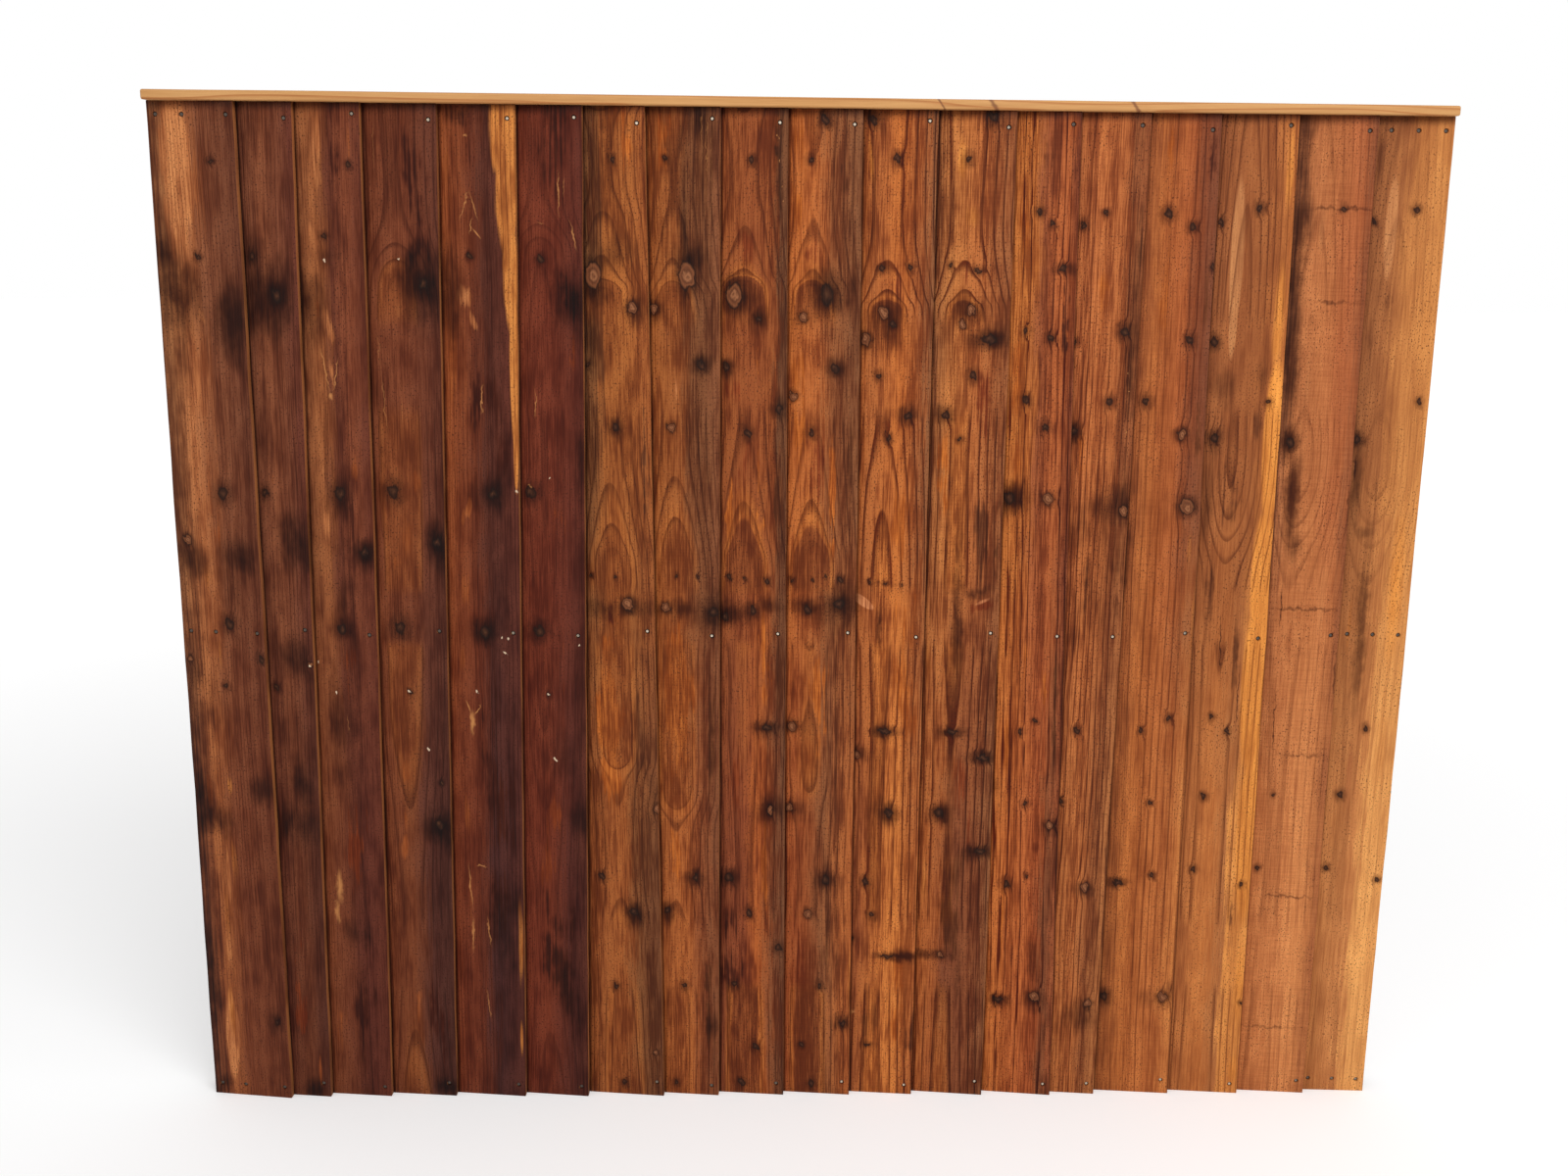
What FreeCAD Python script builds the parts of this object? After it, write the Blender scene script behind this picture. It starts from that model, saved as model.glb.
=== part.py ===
import FreeCAD, Part
import math
import os
import Sketcher
from FreeCAD import Placement, Rotation, Vector

# A closeboard fence panel: feather-edge boards stand side by side on the front of a
# batten frame, each lapping its thick edge over the thin edge of the next, under a capping.
# Millimetres. +X runs along the panel, +Y to its back and +Z up. The origin is under its middle.

doc = FreeCAD.newDocument("CloseboardPanel")
sheet = doc.addObject("Spreadsheet::Sheet", "Sizes")

# The driving dimensions
SIZES = {
    "panel_width": 1828,
    "panel_height": 1524,
    # Feather-edge boards
    "board_count": 18,
    "board_width": 125,
    "board_thin_edge": 4,
    "board_thick_edge": 11,
    "least_lap": 5,
    "seat_clearance": 0.2,
    # Frame battens, the same section for rails and uprights
    "batten_face": 38,
    "batten_depth": 38,
    # Capping
    "capping_thickness": 14,
    "capping_front_overhang": 3,
    "capping_back_overhang": 3,
    "capping_edge_radius": 3,
    # Board and capping nails
    "nail_length": 40,
    "nail_shank": 2.8,
    "nail_head": 6,
    "nail_head_thickness": 1.2,
    "nail_sink": 2,
    "nail_from_edge": 12,
    "nail_wander": 4,
    "end_nail_step": 38,
    "capping_nail_setback": 10,
    "boards_per_capping_nail": 4,
    # Longer nails at the frame's corners
    "frame_nail_length": 75,
    "frame_nail_shank": 3.4,
    "frame_nail_head": 7,
    "frame_nail_from_edge": 6,
}

# The boards between the first and the last were laid by hand: how far each strays from
# even spacing at its foot and at its head
BOARD_STRAYS = [
    (-40, -22), (-45, -29), (-44, -24), (-35, -15),
    (-36, -23), (-17, -37), (-31, -32), (-29, -38),
    (-25, -34), (-26, -29), (-14, -19), (-5, -29),
    (-35, -31), (-16, -32), (-5, -22), (2, -10),
]
for number, (foot, head) in enumerate(BOARD_STRAYS, 2):
    SIZES[f"foot_stray_{number:02d}"] = foot
    SIZES[f"head_stray_{number:02d}"] = head

for row, (alias, number) in enumerate(SIZES.items(), 1):
    sheet.set(f"A{row}", alias)
    sheet.set(f"B{row}", str(number))
    sheet.setAlias(f"B{row}", alias)
doc.recompute()


def size(alias):
    """A driving dimension, read from the sheet."""
    return float(sheet.get(alias))


def bind(thing, **expressions):
    """Ties properties of a document object to cells of the sheet."""
    for name, expression in expressions.items():
        thing.setExpression(name.replace("__", "."), expression)


BOARD_LENGTH = "Sizes.panel_height - Sizes.capping_thickness"
board_length = size("panel_height") - size("capping_thickness")
left_end = -size("panel_width") / 2
right_end = size("panel_width") / 2

# How the boards lie

taper = math.atan((size("board_thick_edge") - size("board_thin_edge")) / size("board_width"))
cover = size("panel_width") - size("board_width")
board_count = int(size("board_count"))
board_step = cover / (board_count - 1)


def thin_edges(end):
    """Where the boards' thin edges lie at the foot or the head. The first and the last board
    are flush with the panel's ends, any board past the list is laid evenly, and none laps less
    than the least lap."""
    strays = [0.0] + [size(f"{end}_stray_{2 + k:02d}") for k in range(len(BOARD_STRAYS))]
    last = board_count - 1
    places = [right_end - size("board_width")]
    for k in reversed(range(last)):
        laid = left_end + k * board_step + (strays[k] if k < len(strays) else 0.0)
        places.insert(0, max(laid, places[0] - size("board_width") + size("least_lap")))
    return places


foot_left = thin_edges("foot")
head_left = thin_edges("head")


def tilts():
    """The angle of each board to the frame: the last lies flat on it, and every other
    board rests its thick edge on the face of the next, where their lap is widest."""
    found = [0.0]
    for k in reversed(range(board_count - 1)):
        step = min(foot_left[k + 1] - foot_left[k], head_left[k + 1] - head_left[k])
        lap = max(size("board_width") - step, 0)
        seat = size("board_thin_edge") + lap * math.tan(found[0] + taper) + size("seat_clearance")
        found.insert(0, math.asin(seat / size("board_width")))
    return found


board_tilt = tilts()
boards_depth = max(
    size("board_width") * math.sin(tilt) + size("board_thick_edge") * math.cos(tilt)
    for tilt in board_tilt
)
capping_width = (
    size("capping_front_overhang") + boards_depth + size("batten_depth") + size("capping_back_overhang")
)
frame_front = size("capping_front_overhang") + boards_depth - capping_width / 2
frame_middle = frame_front + size("batten_depth") / 2
rail_bottoms = {
    "top": board_length - size("batten_face"),
    "middle": (board_length - size("batten_face")) / 2,
    "bottom": 0.0,
}


def board_left(k, height):
    """Where the thin edge of a board is at a height."""
    return foot_left[k] + (head_left[k] - foot_left[k]) * height / board_length


def board_face(k, x, height):
    """How far a board's front face stands off the frame at a place."""
    across = x - board_left(k, height)
    thickness = size("board_thin_edge") + across * math.tan(taper)
    return across * math.sin(board_tilt[k]) + thickness * math.cos(board_tilt[k])


# Boards


def origin_plane(body, role):
    return next(plane for plane in body.Origin.OriginFeatures if plane.Role == role)


def closed_outline(sketch, corners):
    """Draws straight lines from corner to corner and ties their ends together."""
    ends = corners[1:] + corners[:1]
    for start, end in zip(corners, ends):
        sketch.addGeometry(Part.LineSegment(start, end))
    for line in range(len(corners)):
        sketch.addConstraint(Sketcher.Constraint("Coincident", line, 2, (line + 1) % len(corners), 1))


def feather_edge_board(k):
    """One tapered board, sawn level at both ends, leaning and tilted as it was laid."""
    body = doc.addObject("PartDesign::Body", f"FeatherEdge{k + 1:02d}")
    section = body.newObject("Sketcher::SketchObject", f"BoardSection{k + 1:02d}")
    section.AttachmentSupport = [(origin_plane(body, "XY_Plane"), "")]
    section.MapMode = "FlatFace"
    width, thin, thick = (size(f"board_{name}") for name in ("width", "thin_edge", "thick_edge"))
    closed_outline(
        section, [Vector(0, 0, 0), Vector(width, 0, 0), Vector(width, -thick, 0), Vector(0, -thin, 0)]
    )
    section.addConstraint(Sketcher.Constraint("Coincident", 0, 1, -1, 1))
    section.addConstraint(Sketcher.Constraint("Horizontal", 0))
    section.addConstraint(Sketcher.Constraint("Vertical", 1))
    section.addConstraint(Sketcher.Constraint("Vertical", 3))
    for line, value, name in ((0, width, "width"), (1, thick, "thick"), (3, thin, "thin")):
        index = section.addConstraint(Sketcher.Constraint("Distance", line, value))
        section.renameConstraint(index, name)
    bind(
        section,
        Constraints__width="Sizes.board_width",
        Constraints__thick="Sizes.board_thick_edge",
        Constraints__thin="Sizes.board_thin_edge",
    )
    pad = body.newObject("PartDesign::Pad", f"BoardPad{k + 1:02d}")
    pad.Profile = section
    bind(pad, Length=BOARD_LENGTH)
    turn = Rotation(Vector(0, 0, 1), -math.degrees(board_tilt[k]))
    pad.UseCustomVector = True
    pad.AlongSketchNormal = True
    pad.Direction = turn.inverted().multVec(Vector(head_left[k] - foot_left[k], 0, board_length))
    tuck = size("board_thin_edge") * math.sin(board_tilt[k])
    body.Placement = Placement(Vector(foot_left[k] + tuck, frame_front, 0), turn)
    return body


# Frame battens and capping


def batten(name, corner, **expressions):
    """A sawn batten, standing or lying, from its front lower left corner."""
    box = doc.addObject("Part::Box", name)
    bind(box, Width="Sizes.batten_depth", **expressions)
    box.Placement = Placement(Vector(*corner), Rotation())
    return box


def rail(name):
    return batten(
        f"Rail_{name}",
        (left_end + size("batten_face"), frame_front, rail_bottoms[name]),
        Length="Sizes.panel_width - 2 * Sizes.batten_face",
        Height="Sizes.batten_face",
    )


def upright(name, left):
    return batten(
        f"Upright_{name}", (left, frame_front, 0), Length="Sizes.batten_face", Height=BOARD_LENGTH
    )


def capping():
    """A flat strip over the boards and frame, its two long top edges rounded off."""
    body = doc.addObject("PartDesign::Body", "CappingBody")
    strip = body.newObject("PartDesign::AdditiveBox", "CappingStrip")
    strip.Width = capping_width
    bind(strip, Length="Sizes.panel_width", Height="Sizes.capping_thickness")
    doc.recompute()
    rounded = body.newObject("PartDesign::Fillet", "CappingEdges")
    top = strip.Shape.BoundBox.ZMax
    long_top_edges = [
        f"Edge{number}"
        for number, edge in enumerate(strip.Shape.Edges, 1)
        if edge.CenterOfMass.z > top - 0.001 and edge.BoundBox.XLength > edge.BoundBox.YLength
    ]
    rounded.Base = (strip, long_top_edges)
    bind(rounded, Radius="Sizes.capping_edge_radius")
    body.Placement = Placement(Vector(left_end, -capping_width / 2, board_length), Rotation())
    return body


# Nails, drawn six-sided: the head's outer face is at zero and the shank runs along +Z.
# A punch is the hole that a nail leaves: its own form, open from the head outwards.

NAIL_SIDES = 6


def prism(name, radius, height, bottom=0.0):
    stick = doc.addObject("Part::Prism", name)
    stick.Polygon = NAIL_SIDES
    bind(stick, Circumradius=radius, Height=height)
    stick.Placement = Placement(Vector(0, 0, bottom), Rotation())
    return stick


def nail_and_punch(kind):
    """The pattern nail of one kind, and its punch."""
    reach = size("nail_sink") + size("board_thick_edge")
    shank = prism(f"{kind}_shank", f"Sizes.{kind}_shank / 2", f"Sizes.{kind}_length")
    head = prism(f"{kind}_head", f"Sizes.{kind}_head / 2", "Sizes.nail_head_thickness")
    way = prism(
        f"{kind}_way",
        f"Sizes.{kind}_head / 2",
        "Sizes.nail_head_thickness + Sizes.nail_sink + Sizes.board_thick_edge",
        -reach,
    )
    made = []
    for name, wide in (("Nail", head), ("Punch", way)):
        fused = doc.addObject("Part::Fuse", f"{kind}_{name}")
        fused.Base, fused.Tool = wide, shank
        made.append(fused)
    doc.recompute()
    return [thing.Shape for thing in made]


INTO_FRONT = Rotation(Vector(1, 0, 0), -90)
DOWN = Rotation(Vector(1, 0, 0), 180)
TO_RIGHT = Rotation(Vector(0, 1, 0), 90)
TO_LEFT = Rotation(Vector(0, 1, 0), -90)


def board_nail_places(name):
    """Where one rail's nails go: {board: [placement, ...]}, one near each thick edge
    and two more on the first and the last board."""
    inset, step = size("nail_from_edge"), size("end_nail_step")
    rail_middle = rail_bottoms[name] + size("batten_face") / 2
    places = {}
    for k in range(board_count):
        height = rail_middle + size("nail_wander") * math.sin(2.4 * k + len(name))
        near_thick_edge = board_left(k, height) + size("board_width") - inset
        across = [near_thick_edge]
        if k == 0:
            across += [left_end + inset, left_end + inset + step]
        if k == board_count - 1:
            across += [near_thick_edge - step, near_thick_edge - 2 * step]
        places[k] = [
            Placement(
                Vector(x, frame_front - board_face(k, x, height) + size("nail_sink"), height), INTO_FRONT
            )
            for x in across
        ]
    return places


def frame_nail_places():
    """Two nails through each upright into each rail's end."""
    places = []
    sink, inset = size("nail_sink"), size("frame_nail_from_edge")
    for bottom in rail_bottoms.values():
        for height in (bottom + inset, bottom + size("batten_face") - inset):
            places.append(Placement(Vector(left_end + sink, frame_middle, height), TO_RIGHT))
            places.append(Placement(Vector(right_end - sink, frame_middle, height), TO_LEFT))
    return places


def capping_nail_places(nails_below):
    """Nails down into the top rail, each midway between the nails of two boards."""
    depth = frame_front + size("capping_nail_setback")
    height = size("panel_height") - size("nail_sink")
    places = []
    for k in range(0, board_count - 1, int(size("boards_per_capping_nail"))):
        x = (nails_below[k][0].Base.x + nails_below[k + 1][0].Base.x) / 2
        places.append(Placement(Vector(x, depth, height), DOWN))
    return places


def group(label, shape, places):
    """Separate copies of one shape, as one document object."""
    copies = []
    for place in places:
        copy = shape.copy()
        copy.Placement = place
        copies.append(copy)
    feature = doc.addObject("Part::Feature", label)
    feature.Shape = Part.Compound(copies)
    return feature


# Putting it together: every batten, board and the capping is bored by its own nails

nail, punch = nail_and_punch("nail")
frame_nail, frame_punch = nail_and_punch("frame_nail")
board_nails = {name: board_nail_places(name) for name in rail_bottoms}
frame_nails = frame_nail_places()
capping_nails = capping_nail_places(board_nails["top"])
subparts = []


def bored(label, blank, *sets):
    """A blank with the holes of the nails that pass through it."""
    holes = doc.addObject("Part::Compound", f"{label}_holes")
    holes.Links = [group(f"{label}_holes_{n}", shape, places) for n, (shape, places) in enumerate(sets)]
    cut = doc.addObject("Part::Cut", label)
    cut.Label = label
    cut.Base, cut.Tool = blank, holes
    subparts.append(cut)


for k in range(board_count):
    through = [
        place
        for places in board_nails.values()
        for neighbour in (k - 1, k)
        for place in places.get(neighbour, [])
    ]
    bored(f"board_{k + 1:02d}", feather_edge_board(k), (punch, through))

for name, places in board_nails.items():
    along = [place for group_of_board in places.values() for place in group_of_board]
    sets = [(punch, along), (frame_punch, frame_nails)]
    if name == "top":
        sets.append((punch, capping_nails))
    bored(f"{name}_rail", rail(name), *sets)

end_nails = [
    place for places in board_nails.values() for k in (0, board_count - 1) for place in places[k]
]
for name, left in (("left", left_end), ("right", right_end - size("batten_face"))):
    bored(f"{name}_upright", upright(name, left), (punch, end_nails), (frame_punch, frame_nails))

bored("capping", capping(), (punch, capping_nails))

for name, places in board_nails.items():
    along = [place for group_of_board in places.values() for place in group_of_board]
    subparts.append(group(f"{name}_rail_nails", nail, along))
subparts.append(group("frame_nails", frame_nail, frame_nails))
subparts.append(group("capping_nails", nail, capping_nails))

# Checking and writing

doc.recompute()
for thing in doc.Objects:
    if "Invalid" in thing.State or "Error" in thing.State:
        raise RuntimeError(f"{thing.Label} failed: {thing.State}")
for thing in subparts:
    if thing.Shape.isNull() or not thing.Shape.isValid() or not thing.Shape.Solids:
        raise RuntimeError(f"{thing.Label} has no valid solid")

os.makedirs("parts", exist_ok=True)
for thing in subparts:
    thing.Shape.exportStep(os.path.join("parts", f"{thing.Label}.step"))
print(f"{len(subparts)} sub-parts, {board_count} boards, capping {capping_width:.1f} mm wide")
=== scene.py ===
import math
from dataclasses import dataclass, field

import bmesh
import bpy
from mathutils import Matrix, Vector


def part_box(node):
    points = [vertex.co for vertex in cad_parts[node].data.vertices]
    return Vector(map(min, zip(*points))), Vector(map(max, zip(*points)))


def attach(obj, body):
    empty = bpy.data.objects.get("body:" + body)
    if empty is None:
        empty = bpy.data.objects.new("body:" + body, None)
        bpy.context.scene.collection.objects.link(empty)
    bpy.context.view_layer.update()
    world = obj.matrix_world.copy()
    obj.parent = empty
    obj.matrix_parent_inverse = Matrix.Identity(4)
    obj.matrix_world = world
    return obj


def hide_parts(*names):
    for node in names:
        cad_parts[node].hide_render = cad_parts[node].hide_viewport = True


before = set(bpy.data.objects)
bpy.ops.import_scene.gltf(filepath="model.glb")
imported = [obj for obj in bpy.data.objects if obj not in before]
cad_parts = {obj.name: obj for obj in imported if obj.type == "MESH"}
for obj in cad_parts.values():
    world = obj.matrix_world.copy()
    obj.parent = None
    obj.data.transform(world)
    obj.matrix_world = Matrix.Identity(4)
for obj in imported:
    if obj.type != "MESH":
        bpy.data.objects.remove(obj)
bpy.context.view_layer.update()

# Camera: it stood a little left of the panel's middle, at about head height, tipped down
# and hardly turned. The wood's marks are listed by the pixel where the photograph shows them.
FOCAL_PIXELS = 1725.3
IMAGE_WIDTH, IMAGE_HEIGHT = 1600, 1200
CAMERA_PLACE = Vector((-0.0932, -2.4595, 1.388))
CAMERA_DOWN, CAMERA_TURN, CAMERA_ROLL = (math.radians(angle) for angle in (12.99, -1.61, 0.64))
BOARDING_FRONT = -0.0206

bpy.ops.object.camera_add()
camera = bpy.context.object
camera.name = "camera"
camera.data.sensor_width = 36.0
camera.data.lens = camera.data.sensor_width * FOCAL_PIXELS / IMAGE_WIDTH
camera.matrix_world = (
    Matrix.Translation(CAMERA_PLACE)
    @ Matrix.Rotation(CAMERA_TURN, 4, "Z")
    @ Matrix.Rotation(math.pi / 2 - CAMERA_DOWN, 4, "X")
    @ Matrix.Rotation(CAMERA_ROLL, 4, "Z")
)
bpy.context.scene.camera = camera


def seen_at(pixel_x, pixel_y):
    """The point on the boarding's front, in millimetres, that shows at a pixel."""
    sight = Vector((pixel_x - IMAGE_WIDTH / 2, IMAGE_HEIGHT / 2 - pixel_y, -FOCAL_PIXELS))
    ray = camera.matrix_world.to_3x3() @ sight
    return 1000 * (CAMERA_PLACE + ray * (BOARDING_FRONT - CAMERA_PLACE.y) / ray.y)


# Frame: three sawn softwood rails between two uprights, all of one square batten, nailed
# through the uprights. They were dipped in the same stain as the boards and left as sawn.
BATTENS = ["top_rail", "middle_rail", "bottom_rail", "left_upright", "right_upright"]
BATTEN_ARRIS = 0.0012
BATTEN_HEART, BATTEN_RING, BATTEN_RISE = (-18, 42), 4.2, 0.014
BATTEN_STAIN = [(0.0, (70, 38, 21)), (0.45, (104, 60, 33)), (1.0, (132, 82, 47))]
BATTEN_LINE = (150, 108, 92)
FRAME_NAIL_HEAD = 0.0035
NAIL_ROOM = 0.009
SUMMER_START, SUMMER_FULL, SUMMER_END = 0.62, 0.92, 0.95
PIT_UNDER_HEAD, PIT_OVER_HEAD = 0.0014, 0.0034
PIT_FLOOR, PIT_MOUTH = 1.04, 1.3


def tint(colour):
    """A colour written as it looks on screen, 0 to 255, as the shaders want it."""
    return (*(((level / 255 + 0.055) / 1.055) ** 2.4 for level in colour), 1.0)


class Shade:
    """A shader socket that takes part in arithmetic: every operator adds its Math node."""

    def __init__(self, tree, socket):
        self.tree = tree
        self.socket = socket

    def node(self, kind, settings, inputs, output=0):
        """Adds any node: its settings first, then the values or links of its sockets."""
        made = self.tree.nodes.new(kind)
        for name, value in settings.items():
            if name == "stops":
                stops = made.color_ramp.elements
                stops.remove(stops[1])
                stops[0].position, stops[0].color = value[0][0], tint(value[0][1])
                for position, colour in value[1:]:
                    stops.new(position).color = tint(colour)
            elif name == "points":
                points = made.mapping.curves[0].points
                points[0].location, points[1].location = value[0], value[-1]
                for point in value[1:-1]:
                    points.new(*point)
                made.mapping.update()
            else:
                setattr(made, name, value)
        for key, value in inputs.items():
            if isinstance(value, Shade):
                self.tree.links.new(value.socket, made.inputs[key])
            else:
                made.inputs[key].default_value = value
        return Shade(self.tree, made.outputs[output])

    def math(self, operation, first, second=0.0):
        """A Math node on one or two values."""
        return self.node("ShaderNodeMath", {"operation": operation}, {0: first, 1: second})

    def __add__(self, other):
        return self.math("ADD", self, other)

    def __sub__(self, other):
        return self.math("SUBTRACT", self, other)

    def __rsub__(self, other):
        return self.math("SUBTRACT", other, self)

    def __mul__(self, other):
        return self.math("MULTIPLY", self, other)

    def __truediv__(self, other):
        return self.math("DIVIDE", self, other)

    __radd__ = __add__
    __rmul__ = __mul__

    def smooth(self, start, end, low=0.0, high=1.0):
        """Low at start and high at end, with a soft step between."""
        inputs = {0: self, 1: start, 2: end, 3: low, 4: high}
        return self.node("ShaderNodeMapRange", {"interpolation_type": "SMOOTHSTEP"}, inputs)

    def vector(self, second, third=0.0):
        """A vector of this value and one or two others."""
        return self.node("ShaderNodeCombineXYZ", {}, {0: self, 1: second, 2: third})

    def spread(self, scale, offset):
        """A vector stretched and shifted."""
        inputs = {0: self, 1: scale, 2: offset}
        return self.node("ShaderNodeVectorMath", {"operation": "MULTIPLY_ADD"}, inputs)

    def length(self):
        """A vector's length."""
        return self.node("ShaderNodeVectorMath", {"operation": "LENGTH"}, {0: self}, output=1)

    def noise(self, lump, seed, detail=2.0):
        """Soft noise about 0.5 whose lumps have these sizes in millimetres, flat if two are given."""
        sizes = (*lump, 1.0)[:3]
        where = self.spread([1 / size for size in sizes], (seed, seed * 1.7, seed * 2.3))
        settings = {"noise_dimensions": f"{len(lump)}D"}
        inputs = {"Vector": where, "Scale": 1.0, "Detail": detail, "Roughness": 0.55}
        return self.node("ShaderNodeTexNoise", settings, inputs)

    def ramp(self, stops):
        """The colour that a row of (position, colour) stops has at this value."""
        return self.node("ShaderNodeValToRGB", {"stops": stops}, {0: self})

    def blend(self, other, amount, kind="MIX"):
        """This colour mixed with another."""
        settings = {"data_type": "RGBA", "blend_type": kind, "clamp_factor": True}
        return self.node("ShaderNodeMix", settings, {0: amount, 6: self, 7: other}, output=2)


def start_material(name):
    """A new material, its shader, and the place on the object in millimetres along X, Y and Z."""
    material = bpy.data.materials.new(name)
    material.use_nodes = True
    tree = material.node_tree
    place = Shade(tree, tree.nodes.new("ShaderNodeTexCoord").outputs["Object"])
    axes = [place.node("ShaderNodeSeparateXYZ", {}, {0: place}, output=axis) * 1000.0 for axis in range(3)]
    return material, tree.nodes["Principled BSDF"], axes


def finish_material(shader, colour, roughness, relief, relief_depth, gloss):
    """Feeds the shader, with relief as a bump of that depth in metres."""
    bump = colour.node("ShaderNodeBump", {}, {"Strength": 1.0, "Distance": relief_depth, "Height": relief})
    for name, value in (("Base Color", colour), ("Roughness", roughness), ("Normal", bump)):
        colour.tree.links.new(value.socket, shader.inputs[name])
    shader.inputs["Specular IOR Level"].default_value = gloss


def summer_rings(across, depth, heart, ring, wander, drift):
    """The thin dark summer growth of a log whose heart lies at heart = (across, behind), and the
    distance from the heart. Drift carries the cut through the rings, which draws the arches."""
    sideways = across - heart[0] + wander
    behind = depth + heart[1] + drift
    radius = across.math("SQRT", sideways * sideways + behind * behind)
    year = across.math("FRACT", radius / ring)
    return year.smooth(SUMMER_START, SUMMER_FULL) * year.smooth(1.0, SUMMER_END), radius


def batten_material(name, length_axis, seed):
    """Sawn batten: brown stain over faint rings, with the saw's cross marks."""
    material, shader, axes = start_material(name)
    along = axes.pop(length_axis)
    across, depth = axes
    place = across.vector(depth, along)
    wander = (place.noise((70, 70, 500), seed) - 0.5) * 22
    rings, _ = summer_rings(across, depth, BATTEN_HEART, BATTEN_RING, wander, along * BATTEN_RISE)
    streak = place.noise((4, 4, 170), seed + 1)
    fibre = place.noise((1.2, 1.2, 40), seed + 2)
    colour = (streak * 0.9 + fibre * 0.5 - 0.2).ramp(BATTEN_STAIN)
    colour = colour.blend(tint(BATTEN_LINE), rings * 0.75, "MULTIPLY")
    marks = place.noise((60, 60, 2.6), seed + 3, detail=1.0)
    relief = fibre * 0.6 + marks * 0.7
    finish_material(shader, colour, fibre * 0.2 + 0.55, relief, relief_depth=0.0006, gloss=0.25)
    return material


def only(piece):
    """Makes a piece the one that operators act on."""
    bpy.ops.object.select_all(action="DESELECT")
    piece.select_set(True)
    bpy.context.view_layer.objects.active = piece


def select_long_edges(piece, least):
    """In edit mode, selects the edges that are longer than least."""
    mesh = bmesh.from_edit_mesh(piece.data)
    bpy.ops.mesh.select_mode(type="EDGE")
    for edge in mesh.edges:
        edge.select_set(edge.calc_length() > least)
    mesh.select_flush_mode()
    bmesh.update_edit_mesh(piece.data)


def box_corners(node):
    """The corners of a CAD node's box, by the signs of their X, Y and Z."""
    low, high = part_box(node)
    ends = {-1: low, 1: high}
    return {(i, j, k): Vector((ends[i].x, ends[j].y, ends[k].z)) for i in ends for j in ends for k in ends}


def timber(name, corners, arris, rounds, cuts):
    """A length of timber: a cube drawn out to its eight corners, its arrises taken off and its
    long edges divided. corners maps a cube corner's (x, y, z) signs to a place."""
    bpy.ops.object.select_all(action="DESELECT")
    bpy.ops.mesh.primitive_cube_add(size=2.0)
    piece = bpy.context.object
    piece.name = piece.data.name = name
    for vertex in piece.data.vertices:
        vertex.co = corners[tuple(round(sign) for sign in vertex.co)]
    bpy.ops.object.mode_set(mode="EDIT")
    bpy.ops.mesh.select_all(action="SELECT")
    bpy.ops.mesh.bevel(offset=arris, segments=rounds, profile=0.5, affect="EDGES")
    longest = max((a - b).length for a in corners.values() for b in corners.values())
    select_long_edges(piece, longest / 2)
    bpy.ops.mesh.subdivide(number_cuts=cuts)
    bpy.ops.object.mode_set(mode="OBJECT")
    return piece


def warp(piece, direction, lump, amount):
    """Moves a piece's surface by soft noise along X, Y or Z, as sawn timber warps."""
    only(piece)
    texture = bpy.data.textures.new(f"{piece.name}_warp", "CLOUDS")
    texture.noise_scale = lump
    modifier = piece.modifiers.new("warp", "DISPLACE")
    modifier.texture = texture
    modifier.texture_coords = "LOCAL"
    modifier.direction = direction
    modifier.strength = amount
    bpy.ops.object.modifier_apply(modifier=modifier.name)


def nail_heads(node, direction, side=0):
    """The head's middle and the length of each nail that points in a direction in a CAD group, or
    of those on one side of the panel's middle."""
    line = max(range(3), key=lambda axis: abs(direction[axis]))
    nails = []
    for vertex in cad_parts[node].data.vertices:
        if vertex.co.x * side < 0:
            continue
        flat = vertex.co.copy()
        flat[line] = 0.0
        nail = next((nail for nail in nails if (nail[0] - flat).length < NAIL_ROOM), None)
        if nail is None:
            nail = (flat, [])
            nails.append(nail)
        nail[1].append(vertex.co.copy())
    heads = []
    for _, points in nails:
        low = Vector([min(point[axis] for point in points) for axis in range(3)])
        high = Vector([max(point[axis] for point in points) for axis in range(3)])
        head = (low + high) / 2
        head[line] = low[line] if direction[line] > 0 else high[line]
        heads.append((head, high[line] - low[line]))
    return sorted(heads, key=lambda nail: tuple(nail[0]))


def punch_pits(piece, heads, direction, radius):
    """Cuts the round pits in which a piece's nail heads sit, a little wider at its face."""
    bpy.ops.object.select_all(action="DESELECT")
    punches = []
    for head, _ in heads:
        bpy.ops.mesh.primitive_cone_add(
            vertices=16,
            radius1=radius * PIT_FLOOR,
            radius2=radius * PIT_MOUTH,
            depth=PIT_UNDER_HEAD + PIT_OVER_HEAD,
            location=head - direction * (PIT_OVER_HEAD - PIT_UNDER_HEAD) / 2,
            rotation=(-direction).to_track_quat("Z", "Y").to_euler(),
        )
        punches.append(bpy.context.object)
    for punch in punches:
        punch.select_set(True)
    bpy.ops.object.join()
    tool = bpy.context.object
    only(piece)
    modifier = piece.modifiers.new("pits", "BOOLEAN")
    modifier.operation = "DIFFERENCE"
    modifier.object = tool
    bpy.ops.object.modifier_apply(modifier=modifier.name)
    bpy.data.objects.remove(tool)


def finish_piece(piece, material, node):
    """Gives a piece its material and puts it in place of a CAD node."""
    only(piece)
    bpy.ops.object.shade_smooth_by_angle(angle=math.radians(30))
    piece.data.materials.clear()
    piece.data.materials.append(material)
    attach(piece, "root")
    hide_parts(node)


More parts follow.
